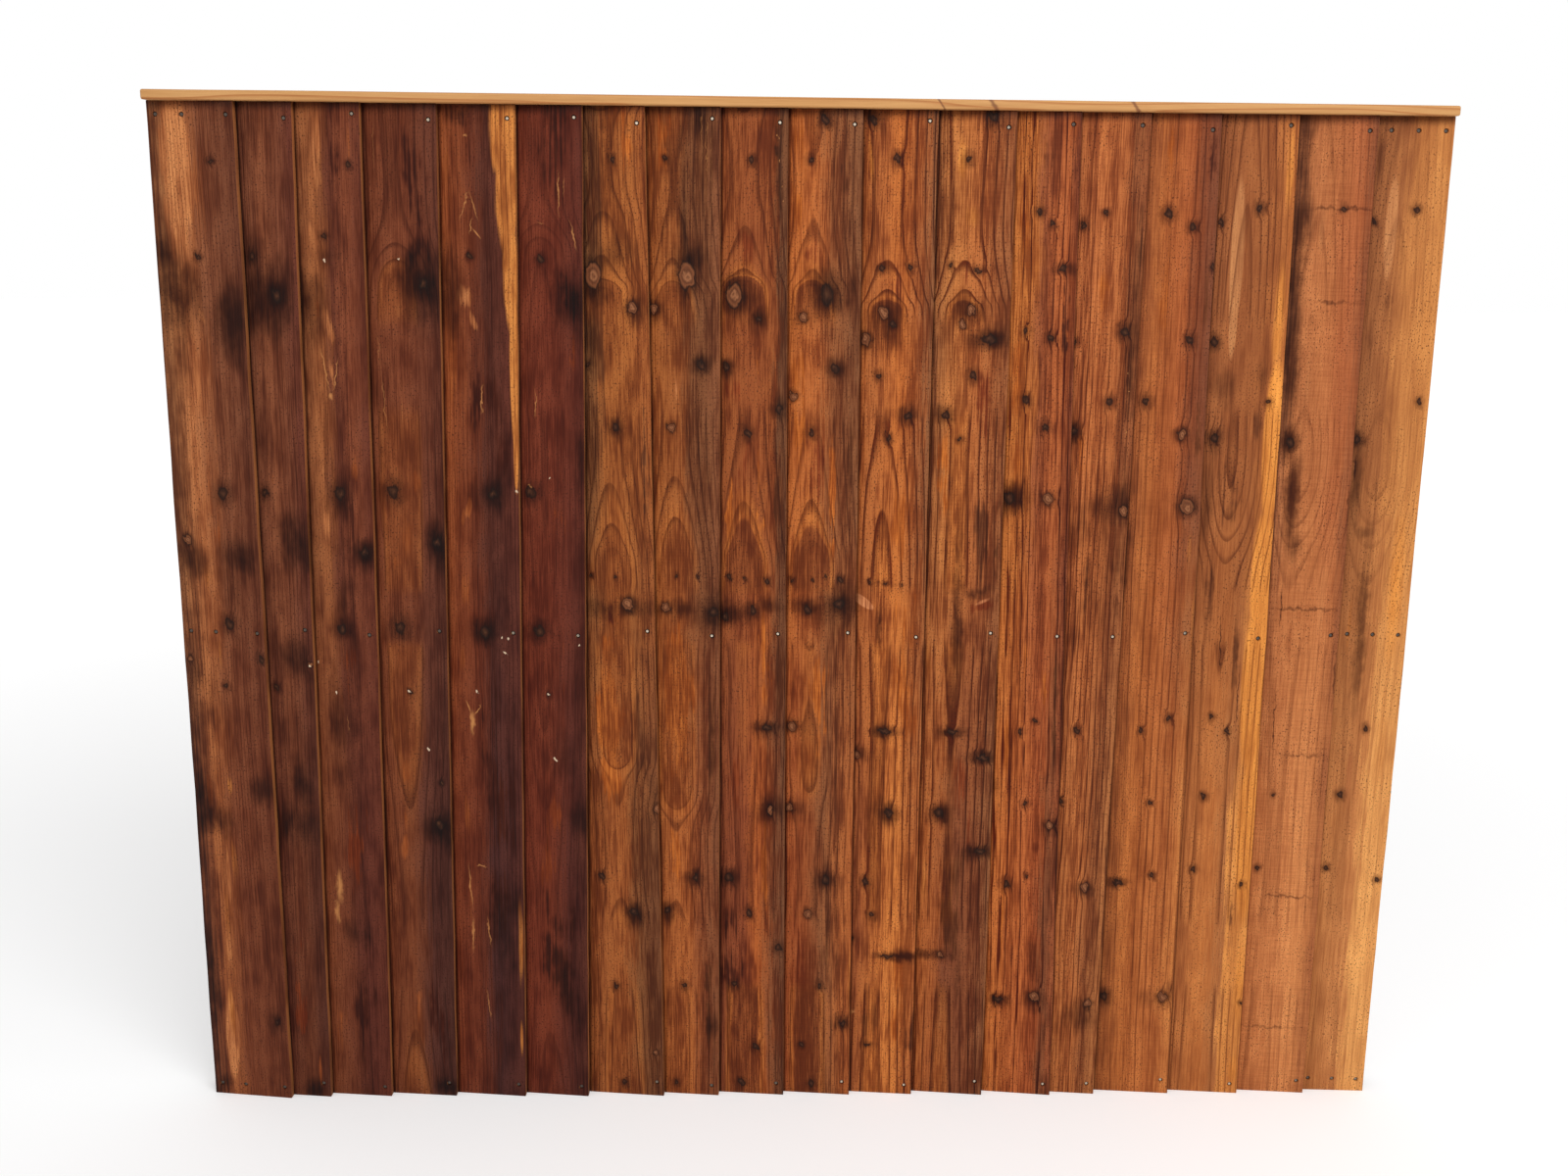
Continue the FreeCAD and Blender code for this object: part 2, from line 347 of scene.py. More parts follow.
SIDEWAYS = Vector((1, 0, 0))
frame_heads = {side: nail_heads("frame_nails", -side * SIDEWAYS, side) for side in (-1, 1)}
for number, node in enumerate(BATTENS):
    batten = timber(f"{node}_sawn", box_corners(node), BATTEN_ARRIS, rounds=2, cuts=60)
    length_axis = 0 if node.endswith("rail") else 2
    if node.endswith("upright"):
        side = -1 if node.startswith("left") else 1
        punch_pits(batten, frame_heads[side], -side * SIDEWAYS, FRAME_NAIL_HEAD)
    wood = batten_material(f"{node}_wood", length_axis, seed=10.0 + 3.1 * number)
    finish_piece(batten, wood, node)

# Boards: feather-edge softwood, sawn on the slant from one plank in pairs, so that neighbours
# share their knots. Each leans as it was laid, is nailed near its thick edge, and was dipped in
# a red-brown stain that took deeply on the left of the panel and thinly on the right.
BOARD_COUNT = 18
BOARD_ARRIS = 0.0008
BOARD_WARP_LUMP, BOARD_WARP = 0.11, 0.0022
BOARD_NAIL_HEAD = 0.003
BOARD_NAIL_ROWS = ["top_rail_nails", "middle_rail_nails", "bottom_rail_nails"]
STAINS = {
    "pale": (178, 125, 78),
    "gold": (184, 120, 58),
    "tan": (180, 119, 72),
    "ochre": (150, 86, 44),
    "torn": (196, 134, 88),
    "honey": (210, 142, 66),
    "orange": (176, 102, 42),
    "rust": (120, 58, 28),
    "brown": (96, 55, 30),
    "wine": (66, 29, 17),
    "grey": (98, 58, 32),
    "umber": (74, 38, 21),
}
SMOOTH_STAINS = {"pale": 0.1, "honey": 0.3, "gold": 0.25, "tan": 0.6, "ochre": 0.6, "torn": 0.1}
FOOT_TONE_END, HEAD_TONE_START = 330, 1150
# The noises' lumps across and up a board, in millimetres.
STREAK, FIBRE, MOTTLE, TEAR = (4, 170), (1.9, 46), (34, 90), (9, 15)
WANDER, BUNCH, KERF, FLECK = (80, 420), (24, 900), (50, 2.4), (2.0, 3.2)
# Where marks start and end to fade, in shares of their half sizes.
STAIN_RIM, SOOT_RIM, SCRATCH_RIM, PAINTED_GLINT_RIM = (0.78, 1.06), (0.1, 1.6), (0.4, 1.2), (0.5, 1.1)
# Soft steps, as start, end, low and high.
HEAD_SHADOW = (1494, 1508, 0.0, 0.7)
LAP_SHADOW = (0.06, 0.012, 0.0, 0.9)
KNOT_PULL = (4.0, 0.6, 0.0, 5.0)
OIL_RANGE = (-0.4, 0.4, 0.45, 1.45)
OIL_WARMTH = (1.17, 0.99, 0.93)
OIL_DEPTH = (0.85, 1.15, 1.25)
CORE, CORE_RIM = (98, 46, 26), (180, 110, 50)
# Pixel rows where whorls of knots break the arches, and how narrow each is.
WHORL_ROWS = {374: 1.25, 630: 2.0, 975: 1.5}
WHORL_HALF, WHORL_FADE = 60, 105
CURVE_HEIGHT, CURVE_RISE = 2000, 100
RING_LINE = (118, 70, 48)
# Soot's dark colour, also used for the painted shade under the capping and along each lap.
SOOT_AND_PAINTED_SHADE = (116, 98, 92)
SPECK = (50, 20, 11)
SCRATCH = (200, 134, 78)
# Pale dots painted as glints of light on small knots.
PAINTED_GLINT, PAINTED_GLINT_SIZE = (218, 190, 160), 2.0
# The thick edges' pale colour: partly the sawn wood's own, partly a painted highlight.
SAWN_EDGE_AND_HIGHLIGHT = (166, 104, 58)
KNOT_HALO = (104, 76, 62)
DARK_KNOT = {
    "size": 0.54,
    "halo": (3.4, 0.9, 0.0, 0.62),
    "cover": (1.25, 0.8, 0.0, 0.95),
    "stops": [(0.0, (86, 52, 33)), (0.45, (58, 31, 19)), (0.9, (26, 13, 8))],
}
BRIGHT_KNOT = {
    "size": 0.76,
    "halo": (2.0, 1.0, 0.0, 0.6),
    "cover": (1.15, 0.95, 0.0, 0.9),
    "stops": [
        (0.0, (104, 60, 38)), (0.28, (164, 106, 70)), (0.5, (98, 55, 34)), (0.75, (132, 78, 48)),
        (0.97, (34, 16, 9)),
    ],
}


@dataclass
class Wood:
    """One board's wood. Marks are placed by the photograph's pixels and sized in millimetres: a knot
    or an eye is (x, y, radius) or (x, y, half width, half height), and a stain, a patch of soot or a
    scratch is (x, y, half width, half height, strength, tilt in degrees)."""

    head: list  # the dip's colours near the head, across what shows of the board
    foot: list  # and near the foot
    heart: tuple  # the log's heart, mm across and behind, or the pixel over it where rings arch
    ring: float  # a year's growth in mm
    lines: float  # how dark the ring lines are
    knots: list
    stains: dict
    soot: list
    eyes: list = field(default_factory=list)
    scratches: list = field(default_factory=list)
    beads: list = field(default_factory=list)  # pixels of painted glints on small knots
    arches: list = field(default_factory=list)  # (pixel y, mm from the back to the heart there)
    core: tuple = ()  # the red core's radius and its strength
    swing: float = 6  # how far the streaks sway the rings, in mm
    waver: float = 14  # and how far the rings wander
    figure: float = 1.5  # how strong the fibres are
    blotch: float = 1.3  # and the clouds of stain
    saw: float = 0.0  # and the saw's cross marks


def board_corners(node):
    """The eight corners of a CAD board, by its (left or right, front or back, foot or head)."""
    vertices = [vertex.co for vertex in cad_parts[node].data.vertices]
    corners = {}
    for k, height in ((-1, min(v.z for v in vertices)), (1, max(v.z for v in vertices))):
        end = [v for v in vertices if abs(v.z - height) < 1e-5]
        middle = (min(v.x for v in end) + max(v.x for v in end)) / 2
        for i in (-1, 1):
            side = [v for v in end if (v.x - middle) * i > 0]
            corners[i, -1, k] = min(side, key=lambda v: v.y).copy()
            corners[i, 1, k] = max(side, key=lambda v: v.y).copy()
    return corners


CORNERS = {number: board_corners(f"board_{number:02d}") for number in range(1, BOARD_COUNT + 1)}


def front_edge(number, side, height):
    """Where a board's left or right front edge lies along X at a height."""
    foot, head = CORNERS[number][side, -1, -1], CORNERS[number][side, -1, 1]
    return foot.x + (head.x - foot.x) * (height - foot.z) / (head.z - foot.z)


def nearest(distances):
    """The least of several distances."""
    least = distances[0]
    for distance in distances[1:]:
        least = least.math("MINIMUM", least, distance)
    return least


class BoardFace:
    """One board's face for its shaders: places across and up it in millimetres, the noises that
    streak and cloud it, which way it faces, and distances from marks."""

    def __init__(self, number, x, y, z):
        low, high, far = (1000 * CORNERS[number][key] for key in ((-1, 1, -1), (-1, 1, 1), (1, 1, -1)))
        self.start = low.x
        self.lean = (high.x - low.x) / (high.z - low.z)
        self.up = z
        self.across = x - self.start - z * self.lean
        self.depth = low.y - y + self.across * ((far.y - low.y) / (far.x - low.x))
        first_shown = (number - 1, 1) if number > 1 else (number, -1)
        left = [1000 * front_edge(*first_shown, height) for height in (0.0, 1.0)]
        right = [1000 * front_edge(number, 1, height) for height in (0.0, 1.0)]
        shown = z * ((right[1] - left[1] - right[0] + left[0]) / 1000) + (right[0] - left[0])
        self.share = (x - left[0] - z * ((left[1] - left[0]) / 1000)) / shown
        self.seed = 5.3 * number
        self.flat = self.across.vector(z)
        torn = self.flat.noise(TEAR, self.seed + 20)
        ragged = (torn * 9 - 4.5).vector(torn * -13 + 6.5)
        self.spot = x.node("ShaderNodeVectorMath", {"operation": "ADD"}, {0: self.flat, 1: ragged})
        self.streak = self.flat.noise(STREAK, self.seed + 31, detail=1.0)
        self.fibre = self.flat.noise(FIBRE, self.seed + 33)
        self.mottle = self.flat.noise(MOTTLE, self.seed + 37, detail=3.0)
        normal = x.node("ShaderNodeNewGeometry", {}, {}, output=1)
        self.thick_edge = x.node("ShaderNodeSeparateXYZ", {}, {0: normal}).smooth(0.5, 0.9)
        self.front = x.node("ShaderNodeSeparateXYZ", {}, {0: normal}, output=1).smooth(0.0, -0.5)

    def place(self, pixel_x, pixel_y):
        """How far across and up the board a pixel lies."""
        seen = seen_at(pixel_x, pixel_y)
        return seen.x - self.start - seen.z * self.lean, seen.z

    def reach(self, spot, mark, least=0.0, tilt=0.0):
        """Distance from a mark's middle, 1 at its rim and least in its middle."""
        pixel_x, pixel_y, wide, tall = mark
        u, v = self.place(pixel_x, pixel_y)
        if tilt:
            turn = (0.0, 0.0, math.radians(tilt))
            inputs = {0: spot, 1: (u, v, -least), 2: turn, 3: (wide, tall, 1.0)}
            return spot.node("ShaderNodeMapping", {"vector_type": "TEXTURE"}, inputs).length()
        return spot.spread((1 / wide, 1 / tall, 0.0), (-u / wide, -v / tall, least)).length()

    def knot_distance(self, knots, size):
        """Distance from the nearest of some knots, which are a little taller than wide."""
        distances = []
        for pixel_x, pixel_y, wide, *tall in knots:
            height = tall[0] if tall else wide * 1.2
            distances.append(self.reach(self.spot, (pixel_x, pixel_y, wide * size, height * size)))
        return nearest(distances)

    def layer(self, marks, rim, fray, spot):
        """The strongest of several marks, each fading over its rim, which is frayed. A weak mark is
        one whose middle already lies some way out."""
        inner, outer = rim
        distances = []
        for mark in marks:
            strength = mark[4] if len(mark) > 4 else 1.0
            tilt = mark[5] if len(mark) > 5 else 0.0
            least = outer - (outer - inner) * (0.5 - math.sin(math.asin(1 - 2 * strength) / 3))
            distances.append(self.reach(spot, mark[:4], least if strength < 1 else 0.0, tilt))
        return (nearest(distances) + fray).smooth(outer, inner)


def stained(face, wood):
    """The dip's colours from foot to head, with the streaks and patches where it took otherwise."""
    placed = face.share + (face.mottle - 0.5) * 0.3 + (face.streak - 0.5) * 0.25
    height = (face.up + (face.mottle - 0.5) * 420).smooth(FOOT_TONE_END, HEAD_TONE_START)
    colour = placed.ramp(wood.foot).blend(placed.ramp(wood.head), height)
    fray = (face.streak - 0.5) * 0.7 + (face.mottle - 0.5) * 1.2
    for name, marks in wood.stains.items():
        torn = fray * (wood.blotch * SMOOTH_STAINS.get(name, 1.0))
        spot = face.flat if name in SMOOTH_STAINS else face.spot
        colour = colour.blend(tint(STAINS[name]), face.layer(marks, STAIN_RIM, torn, spot))
    return colour


def ringed(face, wood, colour, knot_distances):
    """Draws the year rings, which bend round the knots, and arch and have a red core where the heart
    comes near the face. Gives the colour, and the soft bands of the years."""
    wander = (face.flat.noise(WANDER, face.seed + 1, detail=1.0) - 0.5) * wood.waver
    for distance in knot_distances:
        wander = wander + distance.smooth(*KNOT_PULL)
    if wood.arches:
        middle = wood.heart[0]
        heart = (face.place(*wood.heart)[0], 0.0)
        points = [(seen_at(middle, row).z / CURVE_HEIGHT, rise / CURVE_RISE) for row, rise in wood.arches]
        height = face.up / CURVE_HEIGHT
        drift = height.node("ShaderNodeFloatCurve", {"points": sorted(points)}, {1: height}) * CURVE_RISE
        rows = [(seen_at(middle, row).z, narrow) for row, narrow in WHORL_ROWS.items()]
        gaps = [height.math("ABSOLUTE", face.up - row) * narrow for row, narrow in rows]
        clear = nearest(gaps).smooth(WHORL_HALF, WHORL_FADE)
        bunched = face.mottle.smooth(0.25, 0.65, 0.5, 1.0) * clear
    else:
        heart = wood.heart
        drift = (face.streak - 0.5) * wood.swing
        clear = 1.0
        bunched = face.flat.noise(BUNCH, face.seed + 51, detail=1.0).smooth(0.4, 0.6, 0.12, 1.0)
    rings, radius = summer_rings(face.across, face.depth, heart, wood.ring, wander, drift)
    lines = rings * (bunched * wood.lines)
    if wood.core:
        size, strength = wood.core
        rim = radius + (face.mottle - 0.5) * 5
        colour = colour.blend(tint(CORE_RIM), clear * rim.smooth(size + 9, size + 2) * (strength * 0.8))
        colour = colour.blend(tint(CORE), clear * rim.smooth(size + 0.7, size - 0.7) * strength)
        lines = lines * radius.smooth(size - 3, size, 0.3, 1.0)
    bands = radius.math("SINE", radius / (wood.ring * 0.6))
    return colour.blend(tint(RING_LINE), lines, "MULTIPLY"), bands


def figured(face, wood, colour, bands):
    """Lights and darkens the wood by its fibres, clouds and saw marks, as oil deepens it."""
    figure = ((face.streak - 0.5) * 0.45 + (face.fibre - 0.5) * 0.9 + bands * 0.1) * wood.figure
    shade = (figure + (face.mottle - 0.5) * (0.9 * wood.blotch)).smooth(*OIL_RANGE)
    if wood.saw:
        kerf = face.flat.noise(KERF, face.seed + 43, detail=1.0)
        shade = shade * kerf.smooth(0.2, 0.8, 1 - wood.saw, 1 + wood.saw)
    levels = [shade.math("POWER", shade, depth) * warm for warm, depth in zip(OIL_WARMTH, OIL_DEPTH)]
    oil = shade.node("ShaderNodeCombineColor", {}, dict(enumerate(levels)))
    return colour.blend(oil, 1.0, "MULTIPLY")


def board_material(number, wood):
    """One board's stained wood: stain, grain, soot, knots, then what lies on its face and edges, with
    painted glints, a painted highlight on the thick edges, and painted shade under the capping and along
    the laps.
    """
    material, shader, axes = start_material(f"board_{number:02d}_wood")
    face = BoardFace(number, *axes)
    kinds = [(wood.knots, DARK_KNOT), (wood.eyes, BRIGHT_KNOT)]
    knots = [(face.knot_distance(places, look["size"]), look) for places, look in kinds if places]
    colour, bands = ringed(face, wood, stained(face, wood), [distance for distance, _ in knots])
    colour = figured(face, wood, colour, bands)
    smoke = (face.streak - 0.5) * 0.35 + (face.mottle - 0.5) * 1.4
    colour = colour.blend(tint(SOOT_AND_PAINTED_SHADE), face.layer(wood.soot, SOOT_RIM, smoke, face.spot), "MULTIPLY")
    specks = face.flat.noise(FLECK, face.seed + 41, detail=1.0).smooth(0.62, 0.72)
    colour = colour.blend(tint(SPECK), specks * face.mottle.smooth(0.4, 0.62, 0.15, 0.8))
    for distance, look in knots:
        colour = colour.blend(tint(KNOT_HALO), distance.smooth(*look["halo"]), "MULTIPLY")
        colour = colour.blend(distance.ramp(look["stops"]), distance.smooth(*look["cover"]))
    if wood.scratches:
        scratched = face.layer(wood.scratches, SCRATCH_RIM, 0.0, face.spot)
        colour = colour.blend(tint(SCRATCH), scratched * face.front)
    # Painted glints: small pale dots where light glints on small knots.
    if wood.beads:
        glint_spots = [(*pixel, PAINTED_GLINT_SIZE, PAINTED_GLINT_SIZE) for pixel in wood.beads]
        colour = colour.blend(tint(PAINTED_GLINT), face.layer(glint_spots, PAINTED_GLINT_RIM, 0.0, face.spot) * face.front)
    # The thick edges that face +X are paler: partly sawn wood that took less stain, partly a painted
    # highlight.
    colour = colour.blend(tint(SAWN_EDGE_AND_HIGHLIGHT), face.thick_edge * face.streak.smooth(0.3, 0.6, 0.3, 0.8))
    # Painted shade: darker under the capping's overhang, and along each board's left edge where the
    # neighbour's thick edge laps over it.
    shadow = face.up.smooth(*HEAD_SHADOW)
    if number > 1:
        shadow = shadow + face.share.smooth(*LAP_SHADOW) * face.front
    colour = colour.blend(tint(SOOT_AND_PAINTED_SHADE), shadow, "MULTIPLY")
    relief = face.flat.noise(FIBRE, face.seed + 33, detail=0.0)
    finish_material(shader, colour, face.fibre * 0.25 + 0.5, relief, relief_depth=0.0006, gloss=0.12)
    return material


BACKWARDS = Vector((0, 1, 0))
board_heads = {number: [] for number in CORNERS}
for row in BOARD_NAIL_ROWS:
    for head, length in nail_heads(row, BACKWARDS):
        owner = next(number for number in CORNERS if front_edge(number, 1, head.z) > head.x)
        board_heads[owner].append((head, length))


def board(number, **recipe):
    """One board: its sawn form, the pits of its nails, and its wood by a recipe of Wood's values."""
    node = f"board_{number:02d}"
    piece = timber(f"{node}_feather_edge", CORNERS[number], BOARD_ARRIS, rounds=2, cuts=50)
    warp(piece, "X", BOARD_WARP_LUMP, BOARD_WARP)
    punch_pits(piece, board_heads[number], BACKWARDS, BOARD_NAIL_HEAD)
    finish_piece(piece, board_material(number, Wood(**recipe)), node)


board(
    1, heart=(-160, 30), ring=5.0, lines=0.5, figure=0.85,
    head=[
        (0.0, (118, 76, 48)), (0.15, (138, 90, 55)), (0.35, (164, 104, 62)), (0.6, (118, 71, 46)),
        (1.0, (94, 54, 36)),
    ],
    foot=[
        (0.0, (72, 40, 27)), (0.2, (114, 64, 38)), (0.3, (142, 84, 47)), (0.5, (108, 59, 36)),
        (1.0, (94, 50, 31)),
    ],
    knots=[
        (215, 164, 6), (202, 262, 6), (228, 503, 14), (235, 637, 12), (231, 700, 6), (268, 671, 7),
        (284, 1041, 5),
    ],
    eyes=[(190, 551, 8), (192, 673, 5)],
    stains={
        "tan": [
            (180, 170, 24, 130), (183, 225, 17, 64, 0.95), (206, 322, 8, 26, 0.95, 20),
            (237, 1060, 12, 80), (231, 890, 10, 70, 0.9), (234, 970, 11, 90, 0.95),
            (203, 420, 12, 110, 0.35),
        ],
        "gold": [
            (232, 940, 10, 110, 0.5), (225, 675, 5, 60, 0.5), (212, 590, 14, 50, 0.4),
            (235, 802, 10, 30, 0.9), (236, 1030, 12, 90, 0.6), (240, 880, 12, 60, 0.5),
        ],
        "ochre": [(213, 802, 9, 50, 0.6), (221, 542, 10, 40, 0.5), (211, 496, 6, 18, 0.6)],
    },
    soot=[
        (181, 305, 44, 52), (165, 262, 14, 50, 0.7), (236, 330, 28, 52, 0.9), (243, 566, 26, 28, 0.85),
        (196, 575, 30, 26, 0.6), (200, 690, 18, 26, 0.6), (267, 806, 20, 26, 0.8),
        (206, 815, 14, 40, 0.8), (217, 838, 34, 26, 0.8), (238, 600, 22, 90, 0.35),
        (216, 700, 26, 60, 0.3), (215, 1000, 14, 70, 0.6), (284, 1041, 16, 22, 0.7),
        (228, 1105, 20, 14, 0.6),
    ],
)
board(
    2, heart=(-150, 25), ring=6.0, lines=0.5, figure=0.85,
    head=[(0.0, (92, 54, 37)), (0.4, (116, 68, 43)), (0.8, (102, 58, 39)), (1.0, (90, 47, 34))],
    foot=[(0.0, (74, 37, 25)), (0.5, (98, 54, 33)), (1.0, (72, 38, 27))],
    knots=[(257, 262, 8), (283, 302, 12), (282, 701, 6), (270, 503, 9)],
    eyes=[(318, 677, 5)],
    stains={
        "ochre": [(281, 491, 10, 18, 0.6), (328, 1090, 5, 40, 0.5)],
        "rust": [(305, 1000, 14, 120, 0.4)],
    },
    soot=[
        (257, 262, 20, 26, 0.6), (272, 305, 42, 54), (285, 318, 32, 38, 0.9), (302, 552, 28, 40, 0.9),
        (308, 567, 20, 24, 0.8), (303, 667, 24, 34, 0.8), (310, 802, 18, 40, 0.8),
        (309, 843, 30, 34, 0.9), (322, 1111, 16, 18, 0.9), (252, 330, 10, 60, 0.4),
    ],
    beads=[(317, 679)],
)
board(
    3, heart=(40, 60), ring=8.0, lines=0.5, figure=0.85, swing=12,
    head=[
        (0.0, (116, 72, 44)), (0.3, (138, 84, 48)), (0.5, (92, 49, 33)), (0.75, (112, 61, 38)),
        (1.0, (92, 48, 33)),
    ],
    foot=[(0.0, (108, 59, 34)), (0.35, (102, 55, 34)), (0.7, (80, 39, 28)), (1.0, (84, 41, 28))],
    knots=[(356, 169, 6), (330, 241, 6), (347, 503, 15), (349, 642, 12), (372, 563, 11)],
    stains={
        "tan": [
            (323, 165, 10, 90, 0.9), (318, 245, 9, 50, 0.6), (323, 433, 10, 70, 0.45),
            (333, 535, 13, 45, 0.7), (334, 330, 10, 40, 0.85, 12), (337, 378, 7, 40, 0.85, 8),
            (330, 481, 8, 22, 0.7),
        ],
        "ochre": [
            (358, 150, 9, 70, 0.5), (323, 315, 8, 26, 0.7), (361, 473, 14, 34, 0.4),
            (348, 1048, 16, 60, 0.4),
        ],
        "rust": [(365, 870, 22, 90, 0.6), (352, 690, 20, 70, 0.5)],
        "wine": [(340, 165, 10, 90, 0.7), (372, 1000, 22, 180, 0.5)],
    },
    soot=[
        (312, 310, 26, 50, 0.9), (340, 262, 30, 20, 0.35), (372, 566, 26, 24, 0.75),
        (350, 730, 26, 120, 0.4), (352, 600, 30, 90, 0.4), (366, 952, 26, 30, 0.6),
        (347, 515, 18, 30, 0.5),
    ],
    scratches=[
        (331, 376, 1.6, 40, 0.8, 10), (342, 382, 1.6, 30, 0.8, -11), (337, 404, 4, 6, 0.9),
        (346, 905, 7, 32, 0.9), (344, 930, 5, 24, 0.8), (356, 739, 1, 24, 0.4),
    ],
    beads=[(331, 266), (343, 707), (324, 676)],
)
board(
    4, heart=(405, 300), ring=9.0, lines=0.6, figure=0.85, core=(30, 0.3),
    arches=[(110, 44), (215, 44), (300, 14), (400, 10), (700, 16), (850, 30), (930, 34), (1110, 20)],
    head=[(0.0, (106, 58, 36)), (0.5, (110, 60, 37)), (1.0, (84, 45, 31))],
    foot=[(0.0, (106, 57, 33)), (0.4, (108, 59, 34)), (0.7, (74, 41, 32)), (1.0, (66, 36, 28))],
    knots=[
        (432, 290, 12), (408, 641, 14), (449, 841, 10), (446, 553, 11), (451, 798, 5), (401, 502, 15),
        (419, 707, 5),
    ],
    stains={
        "ochre": [
            (405, 308, 11, 36, 0.6), (425, 491, 14, 26, 0.4), (415, 550, 17, 50, 0.65),
            (403, 573, 14, 22, 0.6), (404, 660, 12, 90, 0.4), (415, 790, 14, 40, 0.5),
            (417, 836, 12, 34, 0.6), (412, 868, 20, 36, 0.5), (427, 1016, 12, 60, 0.5),
        ],
        "tan": [(404, 316, 9, 30, 0.9), (410, 415, 12, 60, 0.35)],
        "wine": [(450, 1030, 22, 110, 0.7), (425, 180, 30, 160, 0.25)],
    },
    soot=[
        (434, 294, 40, 52), (430, 316, 28, 28, 0.85), (447, 556, 22, 34, 0.85), (408, 641, 24, 30, 0.5),
        (450, 841, 30, 30, 0.85), (455, 1108, 18, 14, 0.8), (388, 440, 8, 60, 0.4),
    ],
    scratches=[(380, 150, 1.2, 60, 0.3), (392, 415, 1.2, 70, 0.4, 5), (386, 360, 1.2, 50, 0.3, 4)],
    beads=[(407, 265), (418, 707), (438, 765)],
)
board(
    5, heart=(230, 30), ring=6.0, lines=0.6, figure=0.85,
    head=[
        (0.0, (138, 76, 40)), (0.25, (120, 64, 36)), (0.45, (98, 50, 31)), (0.6, (74, 38, 27)),
        (1.0, (82, 41, 30)),
    ],
    foot=[(0.0, (108, 52, 30)), (0.4, (98, 47, 28)), (0.65, (59, 31, 28)), (1.0, (70, 35, 28))],
    knots=[(479, 262, 6), (502, 503, 12), (495, 645, 13)],
    stains={
        "tan": [(474, 303, 19, 24, 0.95), (484, 330, 8, 26, 0.95, 15), (476, 524, 8, 24, 0.8, -18)],
        "ochre": [
            (454, 160, 8, 70, 0.7), (461, 380, 12, 100, 0.65), (476, 524, 9, 28, 0.9, -18),
            (474, 598, 12, 60, 0.6), (472, 675, 8, 60, 0.7), (476, 828, 16, 50, 0.5),
            (481, 926, 5, 80, 0.6),
        ],
        "wine": [
            (484, 389, 14, 80, 0.8), (508, 430, 20, 140, 0.7), (510, 820, 26, 260, 0.8),
            (470, 117, 30, 24, 0.8), (480, 160, 10, 60, 0.6),
        ],
        "gold": [
            (515, 130, 22, 90), (517, 195, 17, 90), (521, 275, 11, 100), (525, 370, 7, 120),
            (527, 450, 4, 80), (532, 965, 7, 120, 0.9), (533, 1060, 5, 60, 0.8),
        ],
    },
    soot=[
        (464, 117, 26, 14, 0.7), (502, 505, 26, 30, 0.7), (495, 645, 22, 22, 0.6),
        (512, 960, 30, 80, 0.5), (455, 298, 24, 56, 0.85),
    ],
    scratches=[
        (473, 210, 1.4, 28, 0.7, -20), (483, 210, 1.4, 28, 0.6, 16), (480, 230, 1.6, 14, 0.8, -10),
        (486, 238, 1.6, 12, 0.8, 40), (492, 407, 1.6, 24, 0.8, -8), (482, 738, 5, 22, 0.95),
        (478, 722, 2, 12, 0.8, 20), (487, 724, 2, 12, 0.8, -40), (491, 884, 10, 2, 0.7),
        (480, 905, 2.2, 44, 0.8, 4), (483, 955, 2.6, 36, 0.8), (499, 950, 1.6, 30, 0.7, 5),
        (499, 1025, 1.6, 36, 0.6, 8), (474, 138, 4, 3, 0.7),
    ],
    beads=[(513, 651), (487, 707), (516, 666), (519, 651), (527, 500)],
)
board(
    6, heart=(552, 300), ring=9.0, lines=0.4, figure=0.85,
    arches=[(110, 44), (200, 44), (260, 20), (400, 10), (700, 16), (850, 30), (930, 34), (1110, 20)],
    head=[(0.0, (104, 50, 31)), (0.5, (100, 46, 29)), (1.0, (80, 37, 26))],
    foot=[(0.0, (96, 43, 27)), (0.4, (102, 47, 28)), (0.8, (70, 34, 27)), (1.0, (72, 36, 26))],
    knots=[(551, 264, 7), (550, 644, 13), (541, 503, 14), (560, 709, 5)],
    stains={
        "rust": [
            (582, 351, 8, 70, 0.6), (571, 530, 18, 44, 0.6), (576, 670, 10, 60, 0.5),
            (560, 883, 20, 40, 0.6), (568, 835, 16, 40, 0.6), (548, 412, 6, 40, 0.6),
        ],
        "wine": [(585, 300, 20, 60, 0.7), (575, 980, 34, 180, 0.6), (560, 150, 30, 120, 0.3)],
    },
    soot=[
        (586, 310, 28, 52, 0.95), (550, 644, 24, 22, 0.5), (575, 770, 30, 40, 0.4),
        (590, 840, 16, 30, 0.6), (595, 480, 10, 90, 0.5), (580, 1000, 30, 120, 0.35),
    ],
    scratches=[
        (570, 197, 1.6, 36, 0.8), (575, 190, 1, 20, 0.5), (585, 240, 1.4, 24, 0.7, 10),
        (552, 228, 6, 1.6, 0.4), (546, 412, 1.6, 26, 0.7), (541, 497, 4, 2, 0.5),
    ],
    beads=[(567, 775), (560, 709), (591, 657), (561, 488)],
)
